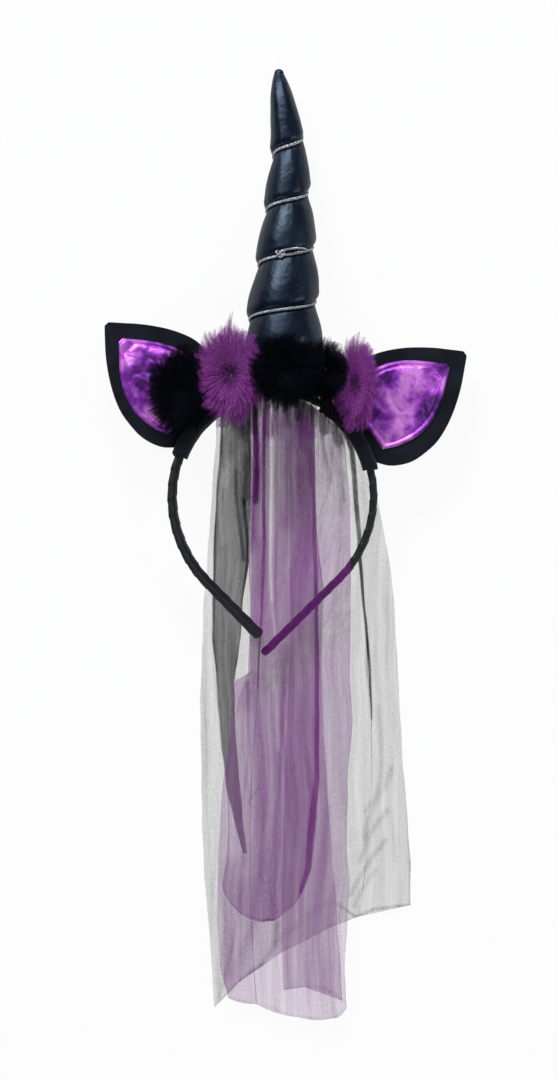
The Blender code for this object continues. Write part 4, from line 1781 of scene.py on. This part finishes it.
@dataclass
class Ply:
    """A ply of the veil, made of lines from its top to its hem between which the net is stretched.

    Each line's points are distances down and across, in millimetres. Its level is its height over the
    lowest ply, in millimetres, its spans are the faces between one line and the next, and its bows
    are how far the hem sags between them, in millimetres.
    """

    name: str
    net: Net
    level: float
    lines: tuple[Table | Pleat, ...]
    creases: tuple[Crease, ...]
    spans: tuple[int, ...]
    rows: int
    nodes: tuple[str, ...] = ()
    rests_on: tuple[str, ...] = ()
    over_arm: bool = False
    bows: tuple[float, ...] = ()
    streak: float = 0.35
    step_up: float = 0.00016
    seed: float = 0.0

    @cached_property
    def edges(self) -> list[Table]:
        """Every line in order across, with both creases of each pleat."""
        made: list[Table] = []
        for line in self.lines:
            made += [line.side(0.5), line.side(-0.5)] if isinstance(line, Pleat) else [line]
        return made

    def plan(self, drape: Drape, u: float, v: float) -> tuple[float, float, float]:
        """Find a point of the ply in plan.

        Args:
            drape: How the veil lies.
            u: Share across.
            v: Share down.

        Returns:
            The distance across, the distance down and how many lines are passed.
        """
        total = sum(self.spans)
        step, index = u * total, 0
        while index < len(self.spans) - 1 and step > self.spans[index] + 1e-9:
            step -= self.spans[index]
            index += 1
        t = step / self.spans[index]
        ends = []
        for line in self.edges[index:index + 2]:
            top = drape.edge(line[0][1] * MM) / MM
            down = top + (line[-1][0] - top) * v
            ends.append((read_line(line, down), down))
        (left, high), (right, low) = ends
        if self.bows:
            bow = self.bows[index] * 4 * t * (1 - t) * v ** 10
            high, low = high + bow, low + bow
        return (left + (right - left) * t) * MM, (high + (low - high) * t) * MM, index + t

    def build(self, drape: Drape, finish: Finish) -> Piece:
        """The ply, with the amount of bunching at each point as its attribute, where the net hides more and
        is painted darker as shade.

        Args:
            drape: How the veil lies.
            finish: Its net.

        Returns:
            The piece.
        """

        def place(u: float, v: float) -> Vector:
            """Place a point of the ply's grid.

            Args:
                u: Share across.
                v: Share down.

            Returns:
                The point.
            """
            across, down, passed = self.plan(drape, u, v)
            curl = 0.0006 * noise.noise(Vector((across / 0.020, down / 0.045, self.seed)))
            height = drape.height(across, down) + self.level * MM + self.step_up * passed
            height += max(0.0, curl)
            if self.over_arm:
                height = max(height, drape.tent(across, down) + 0.5 * self.step_up * passed)
            wobble = 0.0005 * noise.noise(Vector((down / 0.018, 9.0 * u, self.seed)))
            return CROWN + Vector((across + wobble * smoothstep(0.0, 0.3, v), -down, height))

        bm = shaped_grid(sum(self.spans), self.rows, place)
        bunch = bm.verts.layers.float.new("bunch")
        for vertex in bm.verts:
            away = (vertex.co - CROWN) / MM
            across, down = away.x, -away.y
            # Creases and streaks raise the bunch, which thickens the net and darkens its colour as painted
            # shade along them.
            value = sum(crease.bunch(down, across) for crease in self.creases)
            top = 1 - smoothstep(4.0, 70.0, down)
            fine = noise.noise(Vector((across / 1.5, down / 34.0, self.seed)))
            wide = noise.noise(Vector((across / 5.0, down / 90.0, self.seed + 4.0)))
            value += self.streak * top * (fine + 0.25) + (0.05 + 0.25 * top) * wide
            vertex[bunch] = max(-0.9, min(1.0, value))
        piece = add_piece(self.name, bm, finish, f"tulle_{self.net.value}", self.nodes)
        side = self.lines[0]
        declare_sheet((side[-1][0] - side[0][0]) * MM, self.rests_on)
        return piece


BACK_PLY = Ply(
    "veil_back", Net.BLACK, 0.3,
    lines=(
        traced(
            (216, 415), (216, 442), (213, 470), (211, 505), (207, 555), (203, 610), (200, 700),
            (201, 790), (204, 880), (210, 945), (214, 1010),
        ),
        traced((235, 408), (232, 600), (233, 800), (238, 985)),
        traced((270, 397), (272, 600), (276, 800), (280, 956)),
        traced((310, 403), (322, 600), (330, 800), (330, 930)),
        Pleat(
            traced(
                (338, 426), (345, 430), (352, 450), (355, 480), (356, 500), (360, 540), (360, 560),
                (362, 580), (365, 610), (369, 655), (371, 690), (372, 715), (372, 800), (368, 860),
                (358, 919),
            ),
            ((20.0, 3.2), (60.0, 2.8), (90.0, 2.2), (120.0, 1.4), (145.0, 1.6), (178.0, 0.6),
                (225.0, 0.1)),
        ),
        traced(
            (345, 428), (354, 445), (366, 470), (378, 500), (388, 550), (394, 595), (398, 660),
            (402, 745), (408, 815), (411, 865), (411, 907),
        ),
    ),
    creases=(
        Crease(traced((256, 404), (256, 470), (254, 545)), 4.0, 0.42),
        Crease(traced((345, 430), (352, 450), (355, 480), (356, 500), (360, 540)), 1.3, 0.42),
        Crease(traced(
            (359, 545), (362, 580), (365, 610), (368, 645), (369, 670), (371, 700), (372, 720),
        ), 0.75, 0.48, (1.2, 0.8, 0.7, 0.9, 1.4, 0.9, 0.6)),
        Crease(traced((378, 708), (382, 745), (382, 780), (375, 800), (366, 812)), 1.5, 0.20),
        Crease(traced((392, 770), (384, 790), (376, 804), (368, 822), (364, 840)), 1.6, 0.20),
        Crease(traced((388, 812), (378, 824), (369, 838), (361, 862)), 1.7, 0.22),
        Crease(traced((386, 842), (374, 857), (363, 874), (350, 897)), 1.5, 0.24),
        Crease(traced((376, 872), (364, 888), (354, 908)), 1.3, 0.18),
        Crease(traced((391, 600), (392, 680), (396, 760), (402, 850)), 2.6, 0.07),
        Crease(traced((384, 560), (386, 640), (388, 720)), 1.8, 0.06),
        Crease(traced((277, 925), (274, 948), (262, 967), (241, 984), (224, 1003)), 1.5, 0.34),
        Crease(traced((243, 855), (240, 900), (232, 950), (219, 1000)), 1.2, 0.26),
        Crease(traced((262, 800), (262, 870), (252, 930), (232, 975)), 2.8, 0.16),
        Crease(traced((232, 870), (228, 930), (220, 985)), 3.6, 0.14),
        Crease(traced((326, 905), (300, 925), (275, 945)), 2.2, 0.14),
        Crease(traced((206, 600), (205, 700), (207, 800), (212, 900)), 0.9, 0.10),
        Crease(traced((411, 907), (392, 909), (375, 911), (356, 919), (338, 906)), 0.8, 0.42),
        Crease(traced((407, 780), (409, 820), (411, 860), (411, 905)), 0.9, 0.25),
        Crease(traced((214, 1010), (225, 1000), (238, 985), (250, 975), (262, 966)), 0.8, 0.22),
        Crease(traced((300, 946), (330, 930), (350, 922)), 0.6, 0.15),
        Crease(traced((366, 640), (380, 700), (390, 780), (395, 860)), 4.0, 0.05),
        Crease(traced((240, 410), (244, 450), (244, 500), (240, 560)), 4.5, 0.16),
        Crease(traced((284, 402), (284, 460), (285, 525)), 3.4, 0.34),
        Crease(traced((256, 402), (257, 450), (256, 500)), 2.2, 0.40),
        Crease(traced((302, 402), (302, 430)), 2.2, 0.35),
        Crease(traced((318, 408), (322, 440), (330, 480)), 1.4, 0.28),
        Crease(traced((334, 418), (340, 450), (344, 500)), 1.2, 0.26),
    ),
    spans=(26, 44, 52, 60, 8, 50), rows=300, nodes=("veil_black_back",), seed=1.0,
)
FOLD_PLY = Ply(
    "veil_fold", Net.BLACK, 1.8,
    lines=(
        traced(
            (221, 412), (219, 460), (216, 490), (213, 550), (212, 640), (215, 670), (218, 710),
            (221, 750), (226, 790), (231, 810), (237, 835), (243, 855),
        ),
        traced(
            (251, 402), (251, 470), (249, 560), (243, 600), (240, 640), (238, 660), (234, 685),
            (236, 740), (240, 790), (244, 830), (247, 855),
        ),
        traced(
            (222, 412), (220, 460), (217, 490), (214, 550), (213, 640), (216, 670), (219, 710),
            (222, 750), (227, 790), (232, 810), (238, 835), (243, 855),
        ),
        traced(
            (250, 402), (250, 470), (248, 560), (242, 600), (239, 640), (237, 660), (233, 685),
            (235, 740), (239, 790), (243, 830), (246, 855),
        ),
    ),
    creases=(
        Crease(traced(
            (221, 415), (219, 460), (216, 490), (213, 550), (212, 640), (215, 670),
        ), 0.95, 0.62),
        Crease(traced(
            (215, 670), (218, 710), (221, 750), (226, 790), (231, 810), (237, 835), (243, 855),
        ), 0.6, 0.36),
        Crease(traced((243, 405), (246, 430), (250, 465), (248, 495)), 4.2, 0.34),
        Crease(traced((235, 470), (236, 495), (239, 525), (244, 560)), 0.9, 0.34),
        Crease(traced(
            (244, 500), (247, 540), (247, 562), (243, 600), (241, 640), (237, 668),
        ), 0.9, 0.55),
        Crease(traced((228, 412), (227, 470), (224, 540)), 2.2, -0.15),
    ),
    spans=(34, 30, 30), rows=250, nodes=("veil_black_fold",), rests_on=("veil_back",), streak=0.4, seed=2.0,
)
LOOP_PLY = Ply(
    "veil_loop", Net.PURPLE, 3.4,
    lines=(
        traced(
            (254, 402), (252, 500), (251, 600), (250, 673), (236, 681), (233, 685), (230, 740),
            (226, 780), (228, 830), (226, 865), (222, 885), (223, 893),
        ),
        traced((262, 399), (262, 600), (256, 680), (250, 760), (246, 830), (246, 900), (250, 920)),
        traced((275, 397), (277, 600), (276, 760), (272, 860), (268, 923)),
        traced((295, 401), (296, 600), (297, 760), (292, 850), (286, 913)),
        Pleat(
            traced(
                (312, 406), (314, 500), (316, 600), (317, 640), (317, 780), (311, 830), (308, 870),
                (300, 896),
            ),
            ((10.0, 2.0), (130.0, 2.4), (210.0, 2.4), (232.0, 4.2), (262.0, 3.4), (278.0, 2.0)),
        ),
        traced(
            (314, 407), (316, 500), (318, 600), (319, 640), (319, 780), (316, 830), (312, 870),
            (303, 894),
        ),
    ),
    creases=(
        Crease(traced((251, 673), (240, 677), (232, 681)), 0.8, 0.45),
        Crease(traced(
            (232, 683), (230, 740), (226, 780), (228, 805), (228, 860), (222, 880), (223, 893),
            (230, 905), (240, 915), (252, 921), (275, 922),
        ), 0.75, 0.34),
        Crease(traced((248, 683), (248, 760), (246, 780), (243, 800), (241, 815)), 0.9, 0.42),
        Crease(traced((259, 788), (247, 806)), 0.8, 0.3),
        Crease(traced((272, 656), (275, 700), (278, 750)), 1.5, -0.45),
        Crease(traced((238, 720), (236, 770), (237, 830), (239, 872)), 7.0, -0.50),
        Crease(traced((303, 650), (303, 720), (301, 800), (297, 860)), 6.0, -0.26),
        Crease(
            traced(
                (286, 650), (284, 700), (280, 750), (279, 800), (275, 840), (270, 870), (269, 900),
                (269, 930),
            ), 2.0, 0.42,
            (3.4, 2.2, 1.1, 1.1, 3.6, 6.0, 6.2, 5.4),
        ),
        Crease(traced((318, 640), (318, 700), (318, 780)), 0.8, 0.2),
        Crease(traced(
            (313, 785), (312, 820), (311, 850), (310, 875), (303, 893), (290, 907), (283, 914),
        ), 2.2, 0.12, (1.8, 3.4, 3.2, 2.2, 1.6, 1.2, 1.0)),
        Crease(traced((271, 402), (271, 480), (270, 560), (271, 600), (276, 640)), 1.1, -0.80),
        Crease(traced((263, 545), (262, 600), (260, 640)), 4.4, 0.36),
        Crease(traced((284, 404), (284, 460), (284, 520)), 3.8, 0.22),
        Crease(traced((284, 530), (292, 600), (296, 640)), 5.0, 0.12),
        Crease(traced((252, 680), (258, 760), (256, 820)), 3.8, 0.26),
        Crease(traced((303, 402), (304, 470), (306, 560), (302, 620)), 4.4, 0.16),
        Crease(traced((254, 420), (255, 480), (254, 540)), 1.6, 0.25),
        Crease(traced((292, 660), (291, 740), (290, 820)), 2.4, 0.12),
    ),
    spans=(14, 24, 34, 34, 12, 10), rows=260, nodes=("veil_purple_loop",),
    rests_on=("veil_fold", "veil_back"), seed=3.0, bows=(3.2, 1.2, 1.6, 1.6, 0.0, 0.0),
)
UNDER_PLY = Ply(
    "veil_under", Net.PURPLE, 4.5,
    lines=(
        traced(
            (289, 400), (290, 500), (290, 640), (288, 700), (284, 800), (282, 880), (282, 955),
            (283, 992),
        ),
        traced((300, 404), (302, 500), (304, 640), (304, 800), (305, 989)),
        traced(
            (316, 408), (311, 440), (311, 470), (316, 520), (320, 560), (324, 590), (322, 640),
            (322, 700), (328, 800), (336, 900), (343, 1003),
        ),
    ),
    creases=(
        Crease(traced((311, 436), (311, 470), (316, 520), (320, 560), (324, 590)), 0.7, 0.42),
        Crease(traced(
            (283, 992), (290, 990), (310, 988), (325, 990), (335, 997), (343, 1003),
        ), 0.7, 0.3),
        Crease(traced((282, 955), (283, 992)), 0.6, 0.25),
        Crease(traced((302, 430), (303, 480), (306, 560)), 4.6, 0.12),
    ),
    spans=(34, 50), rows=240, rests_on=("veil_loop",), seed=4.0,
)
WIDE_PLY = Ply(
    "veil_wide", Net.PURPLE, 5.2,
    lines=(
        traced(
            (252, 402), (251, 440), (250, 500), (249, 560), (250, 620), (248, 672), (238, 700),
            (228, 745), (222, 790), (218, 850), (217, 920), (220, 970), (228, 1000),
        ),
        Pleat(
            traced(
                (265, 399), (264, 450), (264, 540), (262, 600), (260, 640), (256, 720), (250, 800),
                (250, 900), (256, 1006),
            ),
            ((5.0, 2.2), (80.0, 2.0), (130.0, 1.4), (160.0, 0.4), (340.0, 0.2)),
        ),
        traced((290, 400), (292, 600), (296, 800), (298, 1019)),
        traced((320, 410), (325, 600), (328, 800), (333, 1020)),
        traced(
            (344, 431), (350, 500), (351, 600), (350, 680), (353, 720), (348, 780), (347, 850),
            (350, 880), (347, 930), (345, 970), (347, 1010),
        ),
    ),
    creases=(
        Crease(traced((264, 410), (264, 470), (264, 540)), 0.8, 0.4),
        Crease(traced((268, 408), (268, 500), (267, 590)), 0.55, 0.28),
        Crease(traced((271.5, 402), (271.5, 480), (271, 560), (272, 600)), 1.0, -0.7),
        Crease(traced((276, 405), (276, 500), (276, 600), (277, 640)), 0.6, 0.4),
        Crease(traced(
            (345, 433), (350, 500), (351, 600), (350, 680), (353, 720), (348, 780), (347, 850),
            (350, 880), (347, 930), (345, 970), (347, 1008),
        ), 0.6, 0.16),
        Crease(traced((249, 560), (250, 620), (249, 672)), 0.6, 0.2),
        Crease(traced(
            (228, 1000), (250, 1005), (268, 1008), (280, 1013), (290, 1018), (325, 1021),
            (335, 1019), (345, 1012),
        ), 0.6, 0.22),
        Crease(traced((333, 436), (331, 480), (325, 500), (318, 520)), 0.7, 0.2),
        Crease(traced((240, 800), (236, 860), (232, 930), (228, 990)), 2.6, 0.12),
        Crease(traced((262, 860), (250, 930), (236, 985)), 2.2, 0.10),
        Crease(traced((300, 930), (306, 960), (312, 1000)), 3.0, 0.06),
        Crease(traced((330, 660), (334, 760), (330, 860)), 1.6, 0.10),
        Crease(traced((292, 650), (290, 720), (293, 800)), 1.4, 0.12),
        Crease(traced((304, 640), (303, 720), (307, 790)), 1.1, 0.10),
        Crease(traced((246, 700), (240, 760), (238, 820)), 1.0, 0.16),
        Crease(traced((235, 720), (233, 790), (232, 850)), 6.0, -0.40),
    ),
    spans=(26, 8, 46, 52, 44), rows=300, nodes=("veil_purple_wide",),
    rests_on=("veil_loop", "hoop_ribbon"), over_arm=True, seed=5.0, bows=(1.0, 0.0, 1.4, 1.4, 1.8),
)
PLIES = (BACK_PLY, FOLD_PLY, LOOP_PLY, UNDER_PLY, WIDE_PLY)


@dataclass(frozen=True)
class Wisp:
    """A loose strip of net, with the distance down, the distance across and the height of each end.

    All its sizes are in millimetres.
    """

    foot: tuple[float, float, float]
    end: tuple[float, float, float]
    width: float
    faces: int = 14

    def mesh(self, seed: int) -> Mesh:
        """The strip, which curls towards its end.

        Args:
            seed: Its number, which varies its folds.

        Returns:
            Its mesh.
        """
        ends = (self.foot, self.end)
        foot, end = (Vector((across, -down, height)) for down, across, height in ends)
        way = (end - foot).normalized()
        side = way.cross(Vector((0, 0, 1))).normalized()

        def place(u: float, v: float) -> Vector:
            """Place a point of the strip's grid.

            Args:
                u: Share across.
                v: Share from its foot to its end.

            Returns:
                The point.
            """
            spread = self.width * (0.55 + 0.6 * v) * (u - 0.5)
            fold = 0.5 * math.sin(9.0 * u + seed) + 0.6 * noise.noise(Vector((3 * u, 4 * v, seed)))
            frayed = 1 + 0.22 * noise.noise(Vector((11 * u, seed, 2.0))) * v
            return CROWN + MM * (foot.lerp(end, v * frayed) + side * spread + Vector((0, 0, fold)))

        bm = shaped_grid(self.faces, self.faces, place)
        bunch = bm.verts.layers.float.new("bunch")
        # The bunch varies across the strip, thickening the net and, where it is highest, darkening its
        # colour a little as painted shade.
        for index, vertex in enumerate(bm.verts):
            u = index % (self.faces + 1) / self.faces
            vertex[bunch] = 0.10 + 0.30 * noise.noise(Vector((7 * u, seed, 5.0)))
        return bm


WISPS = {
    Net.BLACK: (
        Wisp((-12.0, 27.2, 30.0), (-29.0, 28.8, 34.0), 5.5),
        Wisp((-14.0, 30.0, 29.0), (-27.0, 31.6, 31.0), 4.5),
        Wisp((5.0, -28.5, 21.0), (20.0, -28.2, 17.0), 6.0),
        Wisp((5.0, -20.5, 22.0), (22.0, -20.0, 17.0), 6.0),
        Wisp((5.0, -11.0, 22.0), (24.0, -12.0, 18.0), 6.0),
        Wisp((5.0, 7.5, 24.0), (20.0, 7.2, 19.0), 5.0),
        Wisp((6.0, 16.0, 24.0), (17.0, 15.0, 20.0), 4.0),
        Wisp((10.0, 25.0, 23.0), (24.0, 29.0, 18.0), 4.5),
        Wisp((14.0, 31.0, 22.0), (30.0, 37.0, 17.0), 4.5),
        Wisp((-6.0, -36.0, 30.0), (-14.0, -40.0, 31.0), 4.5),
    ),
    Net.PURPLE: (
        Wisp((4.0, -3.5, 24.0), (26.0, -1.6, 19.0), 4.5),
        Wisp((6.0, 0.5, 23.5), (24.0, 1.0, 19.0), 3.5),
        Wisp((6.0, 21.0, 23.0), (26.0, 20.0, 19.0), 6.0),
    ),
}


def build_wisps(net: Net, finish: Finish) -> Piece:
    """The loose strips of one colour, as one piece.

    Args:
        net: The colour.
        finish: The net.

    Returns:
        The piece.
    """
    meshes = [wisp.mesh(number) for number, wisp in enumerate(WISPS[net])]
    piece = add_piece(f"wisps_{net.value}", join(meshes), finish, f"tulle_{net.value}")
    declare_sheet(WISP_LENGTH, ("hoop_ribbon",))
    return piece


@dataclass
class Ruffle:
    """The gathered heading of the veil, a strip that covers the hoop's crown under the pompoms."""

    drape: Drape
    left: float = -0.0215
    right: float = 0.0385
    top: float = -0.0085
    fall: float = 0.0245
    height: float = 0.0290
    length: float = 0.025
    pleats: int = 26
    columns: int = 208
    rows: int = 30
    seed: float = 11.0

    def place(self, u: float, v: float) -> Vector:
        """Place a point of the strip's grid.

        Args:
            u: Share across.
            v: Share down.

        Returns:
            The point.
        """
        across = self.left + (self.right - self.left) * u
        across += 0.0010 * math.sin(2 * math.pi * self.pleats * u) * v
        fray = noise.noise(Vector((u * 34.0, 0.0, self.seed)))
        slow = noise.noise(Vector((u * 8.0, 3.0, self.seed)))
        edge = self.drape.edge(across)
        fall = self.fall * (0.72 + 0.34 * fray + 0.25 * slow)
        down = self.top + (edge * 0.8 - self.top * 0.2 + fall) * v
        past = smoothstep(0.0005, 0.0130, down - edge)
        low = self.drape.height(across, down) + 0.0075
        pleat = 0.0011 * math.sin(2 * math.pi * self.pleats * u + 3 * fray)
        return CROWN + Vector((across, -down, self.height + (low - self.height) * past + pleat))

    def build(self, finish: Finish) -> Piece:
        """The strip, densest where it is sewn down.

        Args:
            finish: The black net.

        Returns:
            The piece.
        """
        bm = shaped_grid(self.columns, self.rows, self.place)
        bunch = bm.verts.layers.float.new("bunch")
        for index, vertex in enumerate(bm.verts):
            u = index % (self.columns + 1) / self.columns
            v = index // (self.columns + 1) / self.rows
            # The bunch thickens the net and darkens its colour as painted shade, most near the top where it
            # is sewn down.
            streak = noise.noise(Vector((u * 40.0, 0.7 * v, self.seed + 2)))
            thinning = 1.25 * smoothstep(0.35, 1.0, v)
            vertex[bunch] = 0.95 - thinning + 0.75 * streak * smoothstep(0.3, 0.6, v)
        piece = add_piece("veil_heading", bm, finish, "tulle_black")
        declare_sheet(self.length, ("hoop_ribbon",))
        return piece


# Floor, light and camera


@dataclass(frozen=True)
class Softbox:
    """A rectangular soft light, which is aimed at the object's middle."""

    name: str
    place: tuple[float, float, float]
    size: tuple[float, float]
    power: float
    colour: Colour
    aim: tuple[float, float, float] = (0.0, 0.05, 0.02)

    def build(self) -> None:
        """Add the light."""
        data = bpy.data.lights.new(self.name, "AREA")
        data.shape = "RECTANGLE"
        data.size, data.size_y = self.size
        data.energy = self.power
        data.color = self.colour
        lamp = bpy.data.objects.new(self.name, data)
        bpy.context.scene.collection.objects.link(lamp)
        lamp.location = self.place
        away = Vector(self.aim) - Vector(self.place)
        lamp.rotation_euler = away.to_track_quat("-Z", "Y").to_euler()


SOFTBOXES = (
    Softbox("key", (-0.45, 1.45, 0.95), (1.3, 0.5), 30.0, (0.95, 0.97, 1.0)),
    Softbox("fill", (1.3, 0.2, 1.1), (0.8, 0.8), 7.0, (0.97, 0.98, 1.0)),
    Softbox("low", (-0.3, -1.4, 0.9), (1.2, 0.6), 7.0, (1.0, 0.99, 0.98)),
)


@dataclass
class Studio:
    """A white table seen straight down, lit softly from the top of the picture."""

    target: tuple[float, float, float] = (-0.00372, 0.00135, 0.020)
    distance: float = 3.5
    seen_height: float = 0.594
    table_size: float = 6.0
    table_drop: float = 0.0004
    table_glow: float = 0.93
    room_colour: Colour = (0.82, 0.88, 1.0)
    room_light: float = 0.14

    def build_table(self) -> None:
        """The white table, which the camera sees as bare white paper with a faint shadow."""
        bm = bmesh.new()
        bmesh.ops.create_grid(bm, x_segments=2, y_segments=2, size=self.table_size / 2)
        mesh = bpy.data.meshes.new("table")
        bm.to_mesh(mesh)
        bm.free()
        mesh.transform(Matrix.Translation((0.0, 0.0, -self.table_drop)))
        table = bpy.data.objects.new("table", mesh)
        bpy.context.scene.collection.objects.link(table)
        material, tree, shader = start_material("white table")
        paper = tree.noise(tree.node("TexCoord").outputs["Object"], 900.0, 2.0)
        grain = tree.blend(tree.span(paper, 0.3, 0.7, 0.0, 1.0), (0.84,) * 3, (0.88,) * 3)
        tree.feed(shader.inputs["Base Color"], grain)
        shader.inputs["Roughness"].default_value = 0.9
        glow = tree.node("Emission")
        glow.inputs["Strength"].default_value = 1.0
        seen = tree.node("LightPath").outputs["Is Camera Ray"]
        mix = tree.node("MixShader")
        tree.feed(mix.inputs[0], tree.maths("MULTIPLY", seen, self.table_glow))
        tree.feed(mix.inputs[1], shader.outputs[0])
        tree.feed(mix.inputs[2], glow.outputs[0])
        tree.feed(material.node_tree.nodes["Material Output"].inputs[0], mix.outputs[0])
        mesh.materials.append(material)

    def build(self) -> None:
        """The table, the lights, the even room light and the camera."""
        self.build_table()
        for softbox in SOFTBOXES:
            softbox.build()
        world = bpy.data.worlds.new("room")
        world.use_nodes = True
        room = world.node_tree.nodes["Background"]
        room.inputs["Color"].default_value = (*self.room_colour, 1.0)
        room.inputs["Strength"].default_value = self.room_light
        scene = bpy.context.scene
        scene.world = world
        scene.view_settings.view_transform = "Standard"
        scene.cycles.transparent_max_bounces = 48
        data = bpy.data.cameras.new("camera")
        data.sensor_width = 36.0
        data.lens = data.sensor_width * self.distance / self.seen_height
        data.clip_end = 20.0
        camera = bpy.data.objects.new("camera", data)
        scene.collection.objects.link(camera)
        camera.location = Vector(self.target) + Vector((0.0, 0.0, self.distance))
        scene.camera = camera


# Assembly


def report(piece: Piece) -> None:
    """Log a piece's name, face count and size."""
    size = " x ".join(f"{length / MM:.1f}" for length in piece.dimensions)
    LOG.info("%s: %d faces, %s mm", piece.name, len(piece.data.polygons), size)


def main() -> None:
    """Build every sub-assembly in order and log each piece's size."""
    logging.basicConfig(level=logging.INFO, format="%(name)s: %(message)s")
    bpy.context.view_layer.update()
    felt, foil = Felt().build(), Foil().build()
    nets = {net: tulle.build() for net, tulle in LAID_NETS.items()}
    tufts = {net: tulle.build() for net, tulle in BUNCHED_NETS.items()}
    horn = Horn()
    report(horn.build_cover(FauxLeather().build()))
    report(horn.build_cord(Yarn().build()))
    hoop = Hoop()
    report(hoop.build_ribbon(Satin().build()))
    ears = (
        Ear(
            "left", hoop, root_angle=139.0, lean=131.3, upper=0.0317, lower=0.0268, inset_upper=0.0228,
            inset_lower=0.0202, sleeve_from=120.0, sleeve_to=157.5, seed=2.0,
        ),
        Ear(
            "right", hoop, root_angle=36.0, lean=36.2, upper=0.0299, lower=0.0311, inset_upper=0.0226,
            inset_lower=0.0212, sleeve_from=15.0, sleeve_to=60.0, seed=7.0,
        ),
    )
    for ear in ears:
        report(hoop.build_sleeve(ear.side, ear.sleeve_from, ear.sleeve_to, felt))
        report(ear.build_felt(felt))
        report(ear.build_inset(foil))
    for pompom in POMPOMS:
        report(pompom.build(tufts[pompom.net]))
    drape = Drape(hoop)
    for ply in PLIES:
        report(ply.build(drape, nets[ply.net]))
    report(Ruffle(drape).build(nets[Net.BLACK]))
    for net in Net:
        report(build_wisps(net, nets[net]))
    Studio().build()


if __name__ == "__main__":
    main()
